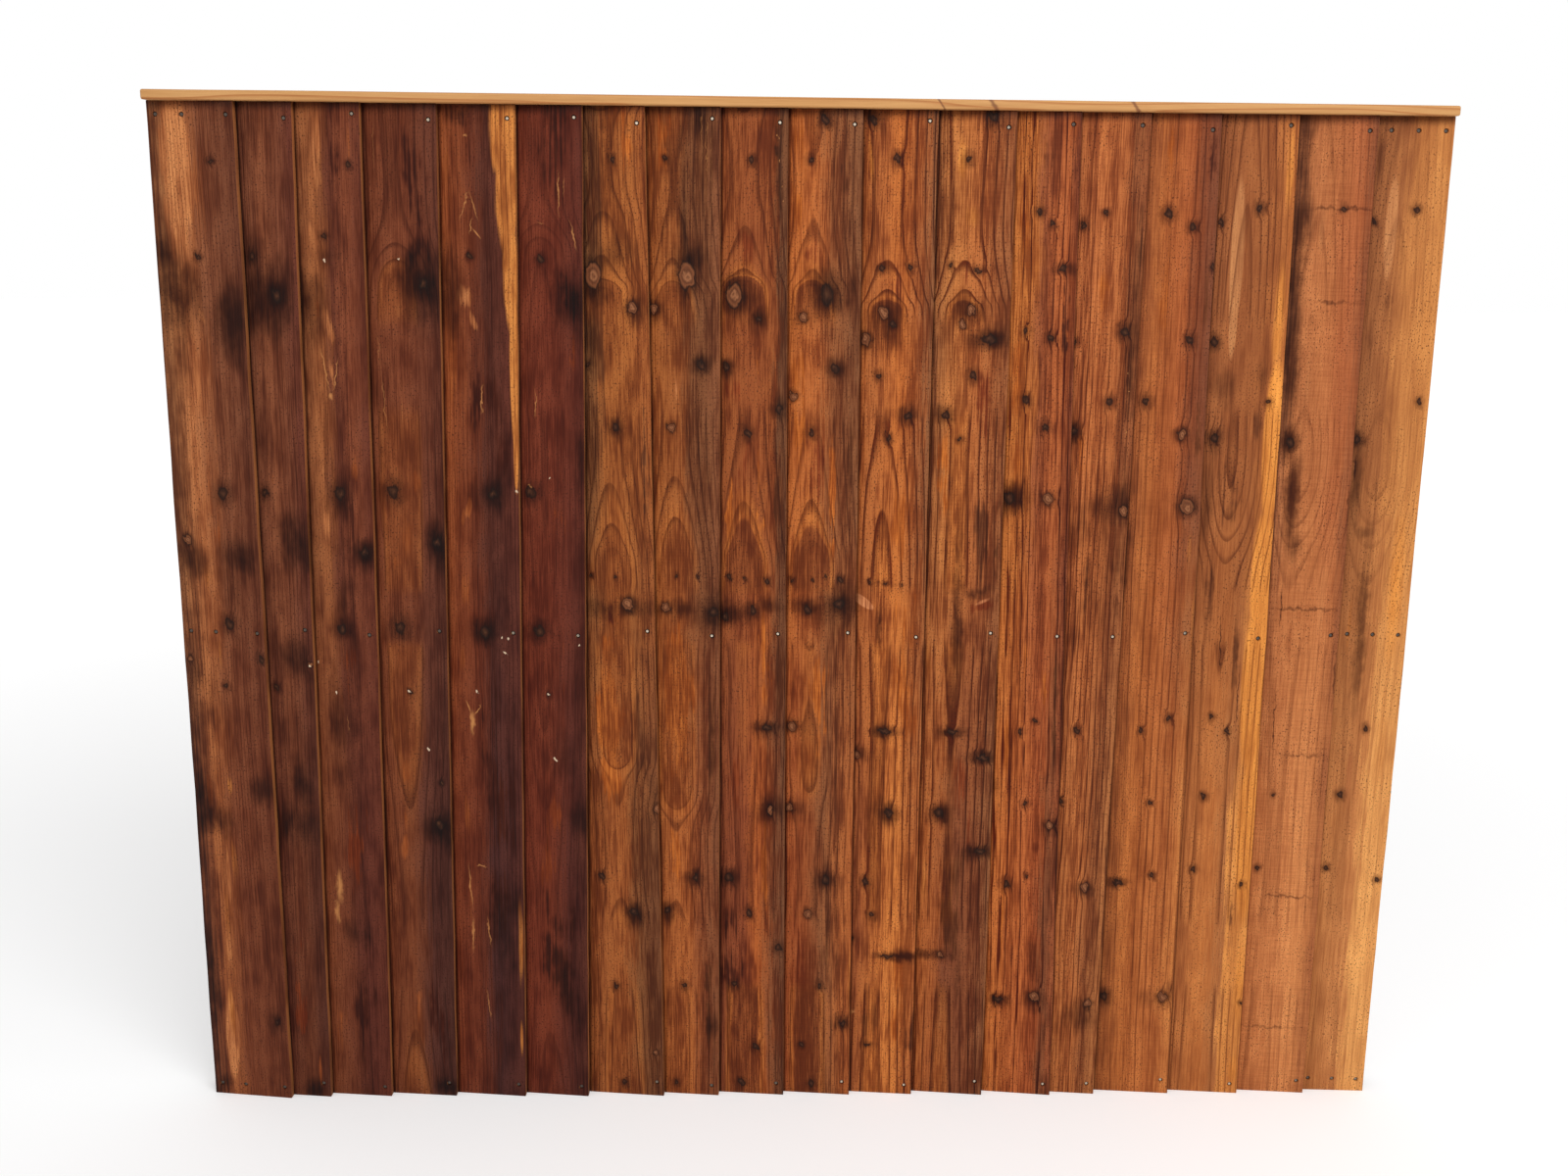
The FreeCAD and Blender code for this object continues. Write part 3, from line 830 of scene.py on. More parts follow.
board(
    7, heart=(620, 350), ring=8.0, lines=0.66, figure=1.35, waver=8, core=(32, 0.3),
    arches=[
        (110, 38), (170, 46), (225, 38), (252, 34), (282, 26), (312, 10), (335, 10), (420, 36), (465, 35),
        (505, 30), (550, 20), (592, 8), (612, 8), (640, 14), (760, 14), (800, 30), (890, 34), (950, 26),
        (1110, 14),
    ],
    head=[
        (0.0, (96, 64, 38)), (0.2, (108, 68, 38)), (0.35, (136, 80, 38)), (0.7, (142, 84, 40)),
        (1.0, (136, 78, 38)),
    ],
    foot=[(0.0, (134, 78, 40)), (0.5, (142, 82, 40)), (0.7, (110, 68, 38)), (1.0, (100, 62, 38))],
    knots=[
        (625, 162, 6), (628, 436, 9), (600, 373, 7), (614, 895, 8), (647, 930, 10), (629, 1007, 7),
        (638, 1105, 7), (603, 589, 4), (628, 590, 4),
    ],
    eyes=[(605, 281, 16, 25), (645, 314, 9), (641, 616, 11), (671, 824, 8), (669, 1072, 5)],
    stains={
        "grey": [
            (602, 170, 12, 140, 0.85), (660, 470, 9, 170, 0.7), (656, 740, 18, 160, 0.7),
            (664, 980, 10, 120, 0.4),
        ],
        "orange": [(622, 730, 18, 115), (640, 150, 22, 90, 0.4)],
        "rust": [(618, 620, 22, 40, 0.5)],
    },
    soot=[
        (628, 258, 34, 26, 0.6), (610, 300, 22, 14, 0.6), (645, 318, 22, 22, 0.7),
        (628, 436, 16, 18, 0.5), (612, 622, 34, 16, 0.8), (645, 620, 34, 14, 0.8),
        (668, 815, 14, 40, 0.7), (647, 932, 20, 26, 0.7), (600, 340, 10, 60, 0.3),
        (600, 280, 10, 40, 0.6),
    ],
)
board(
    8, heart=(690, 400), ring=8.0, lines=0.66, figure=1.35, waver=8, saw=0.06, core=(30, 0.3),
    arches=[
        (110, 36), (200, 40), (225, 38), (255, 34), (285, 26), (314, 10), (335, 10), (420, 36), (460, 35),
        (500, 30), (545, 20), (585, 10), (612, 8), (640, 14), (800, 14), (845, 32), (890, 34), (1000, 20),
        (1110, 18),
    ],
    head=[
        (0.0, (142, 84, 40)), (0.4, (136, 80, 40)), (0.55, (108, 66, 38)), (0.8, (104, 64, 38)),
        (1.0, (112, 68, 42)),
    ],
    foot=[(0.0, (144, 84, 42)), (0.45, (150, 86, 42)), (0.7, (128, 73, 41)), (1.0, (106, 63, 39))],
    knots=[
        (679, 162, 5), (716, 373, 10), (728, 624, 12), (710, 895, 9), (681, 930, 9), (699, 1006, 7),
        (690, 1105, 6), (712, 588, 4), (690, 588, 4),
    ],
    eyes=[(701, 282, 16, 25), (667, 315, 8), (685, 436, 8), (679, 620, 8)],
    stains={
        "grey": [
            (715, 180, 22, 160, 0.7), (712, 480, 18, 190, 0.5), (726, 760, 8, 180, 0.7),
            (724, 1000, 9, 150, 0.5),
        ],
        "orange": [(692, 720, 19, 115), (675, 140, 14, 60, 0.5), (690, 880, 12, 80, 0.5)],
        "tan": [(689, 402, 6, 40, 0.6), (680, 345, 16, 36, 0.35)],
    },
    soot=[
        (698, 230, 7, 110, 0.8), (701, 262, 26, 18, 0.7), (667, 318, 18, 20, 0.6),
        (716, 373, 18, 20, 0.6), (728, 624, 30, 34, 0.95), (690, 622, 40, 14, 0.7),
        (710, 897, 18, 18, 0.6), (681, 932, 16, 20, 0.6), (729, 1044, 12, 18, 0.7),
        (716, 122, 20, 26, 0.5),
    ],
    scratches=[(716, 140, 0.9, 70, 0.35), (721, 150, 0.9, 80, 0.35), (726, 180, 0.9, 90, 0.3)],
)
board(
    9, heart=(761, 350), ring=9.0, lines=0.66, waver=8, core=(32, 0.65),
    arches=[
        (110, 36), (180, 42), (222, 38), (250, 34), (280, 26), (312, 8), (335, 10), (420, 36), (455, 35),
        (500, 30), (550, 20), (592, 8), (622, 12), (665, 30), (760, 31), (830, 34), (930, 34), (1000, 18),
        (1110, 14),
    ],
    head=[
        (0.0, (134, 76, 38)), (0.5, (126, 68, 35)), (0.8, (130, 72, 36)), (0.92, (92, 58, 36)),
        (1.0, (98, 60, 36)),
    ],
    foot=[
        (0.0, (112, 60, 36)), (0.4, (120, 62, 35)), (0.6, (152, 82, 38)), (0.85, (116, 68, 40)),
        (1.0, (98, 62, 40)),
    ],
    knots=[
        (767, 163, 7), (741, 375, 9), (763, 442, 9), (795, 417, 10), (740, 630, 9), (768, 623, 9),
        (743, 896, 11), (764, 932, 9), (794, 966, 9), (750, 1005, 8), (771, 1068, 8), (757, 1105, 8),
        (774, 325, 6), (782, 742, 16, 7), (744, 589, 5), (760, 591, 3), (782, 592, 6),
    ],
    eyes=[(749, 301, 15, 24), (786, 826, 7)],
    stains={
        "grey": [(797, 160, 8, 110, 0.8), (795, 470, 9, 190, 0.75), (795, 680, 9, 120, 0.7)],
        "orange": [
            (770, 390, 7, 70, 0.7), (744, 520, 6, 100, 0.7), (776, 540, 8, 110, 0.8),
            (780, 680, 9, 110, 0.7), (781, 900, 9, 100, 0.6),
        ],
        "rust": [
            (758, 510, 14, 110, 0.9), (752, 400, 14, 34, 0.6), (750, 800, 16, 90, 0.6),
            (760, 255, 20, 40, 0.6),
        ],
        "wine": [(748, 1000, 22, 130, 0.4)],
    },
    soot=[
        (752, 300, 30, 36, 0.6), (774, 326, 16, 18, 0.6), (741, 376, 16, 16, 0.5),
        (795, 417, 18, 18, 0.5), (748, 626, 40, 18, 0.9), (785, 618, 30, 13, 0.65),
        (782, 743, 26, 14, 0.9), (786, 826, 24, 20, 0.85), (743, 897, 22, 20, 0.6),
        (795, 180, 6, 90, 0.6),
    ],
    scratches=[
        (794, 140, 1.2, 2, 0.8), (796, 165, 1.4, 2.4, 0.8), (798, 190, 1.2, 2, 0.7),
        (799, 205, 1.4, 2, 0.7),
    ],
)
board(
    10, heart=(830, 450), ring=9.0, lines=0.66, waver=8, saw=0.05, core=(31, 0.6),
    arches=[
        (110, 34), (190, 38), (230, 37), (255, 33), (285, 25), (314, 8), (335, 10), (420, 36), (450, 35),
        (500, 30), (550, 20), (592, 8), (625, 12), (670, 29), (790, 26), (830, 32), (930, 34), (1000, 18),
        (1110, 16),
    ],
    head=[(0.0, (166, 96, 45)), (0.4, (156, 89, 44)), (0.6, (128, 76, 42)), (1.0, (108, 68, 42))],
    foot=[
        (0.0, (142, 74, 38)), (0.3, (134, 73, 38)), (0.6, (114, 70, 42)), (0.9, (154, 90, 46)),
        (1.0, (146, 83, 42)),
    ],
    knots=[
        (828, 163, 7), (844, 301, 17, 27), (852, 376, 10), (828, 442, 8), (824, 623, 8),
        (856, 616, 16, 12), (842, 898, 11), (836, 1006, 7), (859, 1042, 9), (818, 1067, 6),
        (828, 1106, 8), (842, 122, 8), (808, 593, 5), (857, 591, 6), (843, 589, 3), (829, 592, 3),
    ],
    eyes=[(820, 324, 8), (810, 405, 8), (808, 742, 8), (805, 825, 8), (824, 933, 8)],
    stains={
        "grey": [(868, 200, 14, 170, 0.6), (868, 480, 9, 150, 0.6), (843, 965, 18, 110, 0.5)],
        "orange": [
            (815, 200, 12, 120, 0.5), (815, 420, 14, 120, 0.5), (850, 510, 9, 110, 0.8),
            (834, 720, 18, 110, 0.6),
        ],
        "rust": [(833, 490, 16, 90, 0.8), (829, 253, 16, 36, 0.5), (812, 1000, 14, 110, 0.6)],
        "gold": [(866, 1000, 5, 140, 0.35)],
    },
    soot=[
        (842, 122, 20, 18, 0.8), (844, 300, 28, 34, 0.7), (820, 326, 18, 18, 0.6),
        (852, 377, 18, 20, 0.5), (856, 620, 34, 34, 0.95), (826, 620, 40, 15, 0.72),
        (806, 742, 24, 14, 0.8), (806, 826, 24, 18, 0.8), (842, 900, 22, 20, 0.6),
        (858, 1043, 22, 16, 0.8),
    ],
)
board(
    11, heart=(905, 380), ring=9.0, lines=0.95, waver=8, saw=0.05, core=(29, 0.65),
    arches=[
        (110, 39), (185, 41), (238, 41), (262, 38), (285, 32), (305, 24), (325, 12), (340, 14), (420, 36),
        (465, 34), (500, 30), (615, 24), (750, 26), (980, 26), (1110, 24),
    ],
    head=[
        (0.0, (160, 95, 46)), (0.2, (148, 86, 44)), (0.6, (164, 94, 43)), (0.85, (142, 83, 44)),
        (1.0, (116, 73, 44)),
    ],
    foot=[(0.0, (132, 74, 42)), (0.4, (164, 97, 47)), (0.7, (180, 110, 52)), (1.0, (154, 90, 46))],
    knots=[
        (892, 122, 8), (916, 162, 9), (929, 273, 6), (901, 275, 9, 6), (911, 331, 7), (926, 424, 10),
        (907, 447, 7), (897, 384, 7), (903, 747, 18, 7), (907, 830, 11), (883, 901, 8), (890, 935, 6),
        (870, 960, 6), (905, 976, 20, 5), (885, 1067, 9, 6), (887, 594, 3), (903, 595, 4), (920, 597, 3),
    ],
    eyes=[(902, 319, 9), (884, 347, 10), (874, 771, 6)],
    stains={
        "honey": [(890, 168, 6, 66, 0.95, 5)],
        "orange": [
            (917, 210, 9, 110, 0.6), (920, 560, 24, 150, 0.5), (925, 700, 22, 150, 0.5),
            (914, 1029, 11, 120, 0.6),
        ],
        "rust": [(908, 290, 26, 50, 0.6)],
        "brown": [(885, 1040, 20, 110, 0.5), (930, 1060, 20, 80, 0.4)],
        "torn": [(880, 614, 21, 7, 1, -36)],
    },
    soot=[
        (892, 122, 18, 16, 0.7), (905, 335, 34, 36, 0.55), (884, 347, 22, 24, 0.6),
        (926, 424, 20, 18, 0.5), (865, 611, 16, 34, 0.8), (897, 640, 4, 34, 0.8), (905, 596, 40, 5, 0.5),
        (902, 747, 26, 14, 0.7), (907, 831, 22, 22, 0.7), (925, 975, 44, 9, 0.9), (880, 770, 14, 14, 0.5),
    ],
    scratches=[(869, 1034, 3, 8, 0.8, -40)],
)
board(
    12, heart=(986, 300), ring=9.0, lines=0.95, waver=8, saw=0.07, core=(29, 0.65),
    arches=[
        (110, 39), (180, 41), (236, 41), (262, 38), (285, 32), (305, 24), (325, 12), (350, 16), (420, 24),
        (615, 24), (760, 28), (870, 28), (1110, 24),
    ],
    head=[(0.0, (122, 77, 46)), (0.3, (166, 104, 54)), (0.6, (154, 90, 46)), (1.0, (128, 77, 44))],
    foot=[
        (0.0, (164, 97, 48)), (0.25, (146, 83, 42)), (0.45, (110, 62, 38)), (0.8, (116, 66, 38)),
        (1.0, (120, 76, 46)),
    ],
    knots=[
        (1014, 119, 10), (989, 162, 8), (971, 271, 6), (998, 276, 10, 7), (1009, 346, 20, 11),
        (993, 383, 9), (965, 424, 10), (979, 448, 6), (972, 747, 16, 6), (958, 830, 11),
        (1000, 868, 16, 8), (1002, 772, 18, 8),
    ],
    eyes=[(991, 317, 9), (982, 331, 6), (959, 975, 5)],
    stains={
        "honey": [(981, 160, 21, 56, 0.7)],
        "gold": [(992, 222, 20, 30, 0.7), (947, 660, 10, 130, 0.5), (943, 900, 9, 110, 0.5)],
        "orange": [(965, 480, 14, 170, 0.5)],
        "rust": [
            (990, 278, 22, 30, 0.7), (1005, 430, 16, 120, 0.7), (985, 800, 26, 120, 0.5),
            (1003, 617, 26, 9, 0.9, 18),
        ],
        "brown": [(975, 930, 24, 140, 0.6), (1000, 540, 16, 110, 0.5)],
        "grey": [(1017, 560, 4, 110, 0.6)],
        "torn": [(1003, 613, 24, 5, 0.8, 27), (1001, 771, 16, 4, 0.6, 8)],
    },
    soot=[
        (1014, 119, 16, 18, 0.8), (992, 318, 26, 28, 0.6), (1009, 346, 32, 20, 0.85),
        (977, 620, 8, 120, 0.85), (993, 606, 30, 7, 0.6, 18), (965, 424, 18, 18, 0.5),
        (972, 748, 22, 12, 0.7), (958, 831, 24, 20, 0.7), (1000, 773, 26, 12, 0.7),
        (1000, 868, 22, 14, 0.7), (945, 975, 46, 9, 0.9), (977, 990, 5, 60, 0.6),
    ],
)
board(
    13, heart=(-30, 40), ring=9.0, lines=1.0, blotch=0.7, swing=14, saw=0.06,
    head=[
        (0.0, (168, 102, 48)), (0.3, (170, 103, 48)), (0.5, (128, 71, 41)), (0.8, (154, 85, 44)),
        (1.0, (114, 61, 37)),
    ],
    foot=[
        (0.0, (176, 104, 50)), (0.4, (166, 94, 47)), (0.7, (154, 83, 44)), (0.85, (104, 60, 36)),
        (1.0, (136, 77, 45)),
    ],
    knots=[
        (1061, 216, 7), (1074, 229, 6), (1084, 274, 12, 7), (1047, 338, 7), (1072, 345, 8),
        (1047, 408, 9), (1066, 436, 9), (1031, 509, 14), (1041, 747, 6), (1056, 735, 5), (1046, 820, 7),
        (1027, 903, 9), (1047, 893, 5), (1019, 1021, 13, 9),
    ],
    eyes=[(1069, 509, 9), (1070, 841, 7), (1055, 1016, 9)],
    stains={
        "orange": [
            (1045, 240, 10, 150, 0.5), (1038, 380, 10, 110, 0.8), (1038, 470, 9, 60, 0.7),
            (1044, 680, 22, 60, 0.5), (1028, 760, 10, 110, 0.6), (1022, 940, 12, 120, 0.7),
            (1064, 700, 7, 60, 0.5),
        ],
        "rust": [(1070, 460, 18, 110, 0.5), (1052, 640, 22, 60, 0.4), (1055, 865, 14, 16, 0.7)],
        "wine": [(1068, 180, 10, 90, 0.5), (1086, 330, 8, 120, 0.4)],
        "grey": [(1076, 720, 8, 160, 0.8), (1070, 960, 6, 110, 0.5)],
    },
    soot=[
        (1031, 509, 26, 26, 0.9), (1069, 509, 20, 20, 0.6), (1084, 275, 20, 12, 0.5),
        (1072, 842, 18, 20, 0.7), (1019, 1021, 22, 14, 0.8), (1055, 1018, 20, 20, 0.7),
        (1016, 803, 10, 14, 0.7), (1055, 990, 10, 50, 0.5),
    ],
)
board(
    14, heart=(-60, 60), ring=7.0, lines=0.85, blotch=0.6, saw=0.06,
    head=[
        (0.0, (148, 86, 48)), (0.35, (164, 97, 52)), (0.7, (150, 87, 46)), (0.85, (122, 71, 40)),
        (1.0, (128, 74, 42)),
    ],
    foot=[(0.0, (152, 92, 49)), (0.4, (162, 98, 52)), (0.7, (130, 78, 44)), (1.0, (148, 94, 53))],
    knots=[
        (1106, 230, 8), (1129, 217, 6), (1147, 338, 10), (1132, 410, 9), (1097, 441, 9), (1098, 350, 6),
        (1099, 746, 7), (1083, 819, 6),
    ],
    eyes=[(1146, 521, 8), (1107, 905, 8), (1109, 1023, 8)],
    stains={
        "orange": [(1125, 300, 14, 160, 0.5), (1105, 470, 16, 90, 0.5)],
        "brown": [
            (1163, 250, 7, 150, 0.6), (1150, 430, 11, 170, 0.7), (1140, 610, 8, 110, 0.6),
            (1110, 590, 26, 80, 0.6), (1128, 880, 10, 150, 0.4),
        ],
    },
    soot=[
        (1134, 517, 34, 30, 0.9), (1118, 570, 40, 130, 0.4), (1160, 330, 16, 120, 0.5),
        (1147, 340, 16, 14, 0.5), (1097, 442, 12, 18, 0.6), (1103, 1035, 22, 30, 0.6),
        (1107, 907, 18, 14, 0.6),
    ],
    scratches=[(1150, 380, 1.2, 2, 0.8), (1152, 400, 1.2, 2, 0.8), (1148, 440, 1.3, 2.4, 0.8)],
)
board(
    15, heart=(-150, 45), ring=10.0, lines=0.65, figure=0.65, blotch=0.6, saw=0.05,
    head=[
        (0.0, (140, 84, 48)), (0.25, (162, 97, 50)), (0.6, (154, 87, 46)), (0.85, (120, 68, 42)),
        (1.0, (110, 64, 42)),
    ],
    foot=[(0.0, (138, 84, 46)), (0.3, (168, 102, 51)), (0.7, (172, 105, 55)), (1.0, (178, 114, 60))],
    knots=[
        (1193, 218, 10), (1217, 232, 8), (1237, 272, 6), (1214, 347, 9), (1170, 410, 9), (1165, 747, 6),
        (1192, 733, 7), (1174, 820, 7, 5), (1141, 902, 14, 7), (1175, 893, 6), (1127, 1018, 10),
    ],
    eyes=[(1206, 443, 9), (1211, 517, 13), (1186, 1017, 9)],
    stains={
        "orange": [(1195, 170, 7, 110, 0.5), (1190, 300, 18, 120, 0.4), (1180, 600, 22, 110, 0.35)],
        "gold": [(1216, 640, 6, 150, 0.5), (1213, 560, 8, 60, 0.5)],
        "brown": [(1232, 300, 9, 140, 0.5), (1222, 440, 6, 110, 0.6)],
        "wine": [(1237, 170, 9, 110, 0.5)],
        "umber": [(1127, 900, 4, 150, 0.7), (1104, 1040, 3, 90, 0.7)],
    },
    soot=[
        (1211, 515, 22, 22, 0.7), (1206, 444, 16, 16, 0.5), (1150, 560, 8, 120, 0.5),
        (1141, 903, 20, 12, 0.6), (1186, 1018, 28, 20, 0.7), (1195, 1010, 14, 18, 0.5),
        (1127, 1019, 20, 18, 0.6),
    ],
)
board(
    16, heart=(1252, 585), ring=7.0, lines=0.7, figure=0.45, blotch=0.5,
    arches=[(110, 26), (440, 12), (480, 12), (520, 18), (555, 28), (586, 36), (640, 40), (1110, 42)],
    head=[(0.0, (134, 83, 48)), (0.3, (148, 92, 52)), (0.7, (144, 88, 48)), (1.0, (168, 105, 54))],
    foot=[
        (0.0, (160, 101, 56)), (0.4, (188, 122, 65)), (0.65, (162, 107, 62)), (0.75, (198, 135, 70)),
        (1.0, (204, 140, 72)),
    ],
    knots=[
        (1286, 213, 8), (1247, 227, 7), (1240, 349, 9), (1240, 447, 10), (1294, 410, 6), (1237, 733, 6),
        (1252, 746, 6), (1229, 814, 7), (1218, 888, 7), (1266, 902, 6), (1266, 1022, 5),
    ],
    stains={
        "pale": [(1263, 262, 10, 112), (1259, 330, 6, 54)],
        "brown": [(1254, 500, 28, 100, 0.85), (1235, 620, 14, 120, 0.65), (1284, 430, 12, 50, 0.5)],
        "grey": [(1261, 660, 10, 120, 0.5), (1255, 930, 7, 60, 0.5), (1248, 1045, 9, 40, 0.5)],
        "umber": [
            (1246, 660, 1.8, 110, 0.9, 3), (1262, 720, 1.6, 90, 0.9), (1303, 520, 2.6, 40, 0.9, -6),
        ],
        "honey": [
            (1316, 170, 12, 120, 0.8), (1304, 330, 15, 150, 0.9), (1298, 450, 15, 130),
            (1288, 590, 19, 110), (1279, 700, 20, 150), (1273, 850, 19, 150), (1264, 1000, 17, 130, 0.9),
            (1257, 1090, 13, 50, 0.9),
        ],
    },
    soot=[
        (1240, 449, 18, 22, 0.7), (1240, 350, 14, 14, 0.5), (1232, 520, 10, 50, 0.6),
        (1286, 385, 14, 24, 0.4), (1250, 400, 24, 30, 0.35),
    ],
)
board(
    17, heart=(1321, 571), ring=8.0, lines=0.4, figure=0.4, blotch=0.35, saw=0.08,
    arches=[(110, 40), (420, 16), (470, 10), (510, 16), (545, 27), (572, 36), (620, 42), (1110, 44)],
    head=[
        (0.0, (124, 82, 56)), (0.2, (172, 112, 68)), (0.5, (172, 110, 65)), (0.8, (164, 98, 58)),
        (1.0, (132, 80, 50)),
    ],
    foot=[(0.0, (172, 110, 63)), (0.3, (194, 129, 77)), (0.8, (198, 135, 81)), (1.0, (154, 96, 57))],
    knots=[(1371, 213, 6), (1318, 452, 10), (1300, 812, 5), (1284, 887, 6)],
    stains={
        "pale": [(1350, 235, 12, 90, 0.35), (1335, 390, 12, 110, 0.3)],
        "rust": [(1364, 160, 20, 60, 0.35), (1314, 660, 22, 110, 0.3)],
        "tan": [(1348, 620, 12, 130, 0.7)],
        "umber": [(1308, 620, 1.6, 70, 0.9), (1301, 740, 1.6, 90, 0.9)],
        "brown": [
            (1400, 270, 7, 110, 0.7), (1390, 400, 6, 110, 0.7), (1375, 520, 6, 90, 0.7),
            (1362, 680, 5, 120, 0.8), (1352, 850, 5, 150, 0.8), (1338, 1040, 5, 100, 0.7),
        ],
    },
    soot=[
        (1332, 150, 13, 90, 0.75), (1325, 260, 15, 110, 0.95), (1319, 370, 14, 100, 0.95),
        (1317, 452, 16, 34), (1320, 505, 11, 80), (1322, 560, 9, 26, 0.85), (1370, 213, 44, 2.5, 0.5),
        (1358, 309, 44, 2.5, 0.5), (1335, 622, 50, 2.5, 0.7), (1325, 771, 50, 2.5, 0.6),
        (1308, 915, 48, 2.5, 0.7), (1295, 1049, 46, 2.5, 0.6),
    ],
)
board(
    18, heart=(1398, 575), ring=8.0, lines=0.28, figure=0.35, blotch=0.35,
    arches=[(110, 40), (420, 16), (470, 10), (510, 16), (545, 27), (576, 36), (620, 42), (1110, 44)],
    head=[(0.0, (136, 88, 52)), (0.35, (152, 99, 57)), (0.55, (178, 121, 67)), (1.0, (192, 134, 74))],
    foot=[(0.0, (178, 122, 70)), (0.5, (192, 133, 79)), (0.65, (214, 158, 92)), (1.0, (222, 166, 97))],
    knots=[
        (1447, 214, 7), (1403, 226, 6), (1387, 450, 9), (1449, 410, 6), (1369, 812, 8), (1354, 887, 6),
        (1405, 898, 6), (1394, 744, 6),
    ],
    stains={
        "honey": [(1425, 600, 24, 240, 0.85)],
        "gold": [(1455, 330, 22, 260, 0.3), (1378, 640, 7, 110, 0.5), (1410, 760, 24, 320, 0.3)],
        "pale": [(1421, 233, 9, 76)],
        "tan": [(1378, 790, 12, 110, 0.6)],
        "umber": [(1384, 480, 4, 40, 0.8)],
        "brown": [
            (1418, 310, 12, 60, 0.55), (1412, 160, 18, 120, 0.4), (1400, 350, 18, 110, 0.3),
            (1405, 505, 12, 60, 0.5),
        ],
    },
    soot=[
        (1390, 640, 9, 130, 0.75), (1387, 450, 14, 26, 0.8), (1385, 500, 7, 60, 0.7),
        (1395, 545, 16, 10, 0.4),
    ],
)

# Capping: a planed strip of paler softwood, its edges eased, laid along the top over the heads of
# the boards and the top rail, and nailed down every few boards. It was never stained.
CAPPING_ROUND = 0.003
CAPPING_WARP_LUMP, CAPPING_WARP = 0.35, 0.0012
CAPPING_HEART, CAPPING_RING, CAPPING_RISE = (-70, -1490), 6.0, 0.006
CAPPING_TONES = [(0.0, (176, 118, 66)), (0.5, (205, 150, 92)), (1.0, (224, 172, 112))]
CAPPING_LINE = (214, 176, 150)
CAPPING_KNOT = (110, 60, 38)
CAPPING_KNOTS = [(1013, 107, 5), (1157, 112, 4), (960, 105, 2.5)]
CAPPING_KNOT_LEAN, CAPPING_MIDDLE = 0.7, 1517


def capping_material():
    """Bare planed softwood, its grain along X, with a few small knots on the front edge."""
    material, shader, (x, y, z) = start_material("capping_wood")
    place = x.vector(y, z)
    wander = (place.noise((600, 60, 60), 71.0) - 0.5) * 30
    rings, _ = summer_rings(y, z, CAPPING_HEART, CAPPING_RING, wander, x * CAPPING_RISE)
    streak = place.noise((190, 5, 5), 72.0)
    fibre = place.noise((36, 1.1, 1.1), 73.0)
    colour = (streak * 0.8 + fibre * 0.5 - 0.15).ramp(CAPPING_TONES)
    colour = colour.blend(tint(CAPPING_LINE), rings * 0.7, "MULTIPLY")
    for pixel_x, pixel_y, radius in CAPPING_KNOTS:
        slanted = x - seen_at(pixel_x, pixel_y).x + (z - CAPPING_MIDDLE) * CAPPING_KNOT_LEAN
        distance = x.math("ABSOLUTE", slanted / radius) + y.smooth(-20, 10) * 2
        colour = colour.blend(tint(CAPPING_KNOT), (distance + streak * 1.2).smooth(1.7, 0.7, 0.0, 0.75))
    finish_material(shader, colour, fibre * 0.2 + 0.5, fibre, relief_depth=0.0004, gloss=0.25)
    return material


DOWNWARDS = Vector((0, 0, -1))
capping_heads = nail_heads("capping_nails", DOWNWARDS)
capping = timber("capping_planed", box_corners("capping"), CAPPING_ROUND, rounds=4, cuts=60)
warp(capping, "Z", CAPPING_WARP_LUMP, CAPPING_WARP)
punch_pits(capping, capping_heads, DOWNWARDS, BOARD_NAIL_HEAD)
finish_piece(capping, capping_material(), "capping")

# Nails: galvanised wire nails with flat round heads, driven until the heads sit a little under the
# wood. One row holds the boards to each rail; longer ones hold the frame, and five the capping.
NAIL_SHANK, FRAME_NAIL_SHANK = 0.0014, 0.0017
NAIL_HEAD_DEPTH, NAIL_HEAD_WALL, NAIL_HEAD_BEVEL, NAIL_HEAD_DISH = 0.0012, 0.7, 0.16, 0.4
NAIL_POINT, NAIL_TIP = 0.005, 0.12
ZINC = [(0.3, (190, 170, 146)), (0.55, (236, 220, 196)), (0.75, (250, 238, 220))]
NAIL_STAIN = (44, 26, 17)
CLEAN_NAILS_X, CLEAN_NAILS_Z, CLEAN_NAILS_LEAN = 100, 755, 0.4
CLEAN_NAILS_END, STAINED_NAILS_START = 330, 560


def zinc_material():
    """Dull zinc, cloudy and a little scratched, with stain dried about the heads' rims and over the
    nails towards the panel's two ends."""
    material, shader, (x, y, z) = start_material("nail_zinc")
    place = x.vector(y, z)
    cloud = place.noise((2.4, 2.4, 2.4), 91.0)
    grit = place.noise((0.5, 0.5, 0.5), 92.0)
    rim = x.node("ShaderNodeAttribute", {"attribute_name": "rim"}, {}, output=2)
    away = x.math("ABSOLUTE", x - CLEAN_NAILS_X + (z - CLEAN_NAILS_Z) * CLEAN_NAILS_LEAN)
    away = away + (place.noise((30, 30, 900), 93.0) - 0.5) * 600
    drowned = away.smooth(CLEAN_NAILS_END, STAINED_NAILS_START, 0.1, 0.92)
    stain = x.math("MAXIMUM", (rim + (cloud - 0.5) * 0.5).smooth(0.5, 0.75), drowned)
    shader.inputs["Metallic"].default_value = 0.25
    colour = cloud.ramp(ZINC).blend(tint(NAIL_STAIN), stain)
    finish_material(shader, colour, grit * 0.3 + 0.3, grit, relief_depth=0.0001, gloss=0.5)
    return material


def select_end(piece, way):
    """In edit mode, selects the face at the top (1) or the bottom (-1)."""
    mesh = bmesh.from_edit_mesh(piece.data)
    bpy.ops.mesh.select_mode(type="FACE")
    end = max(mesh.faces, key=lambda face: way * face.calc_center_median().z)
    for face in mesh.faces:
        face.select_set(face == end)
    mesh.select_flush_mode()
    bmesh.update_edit_mesh(piece.data)


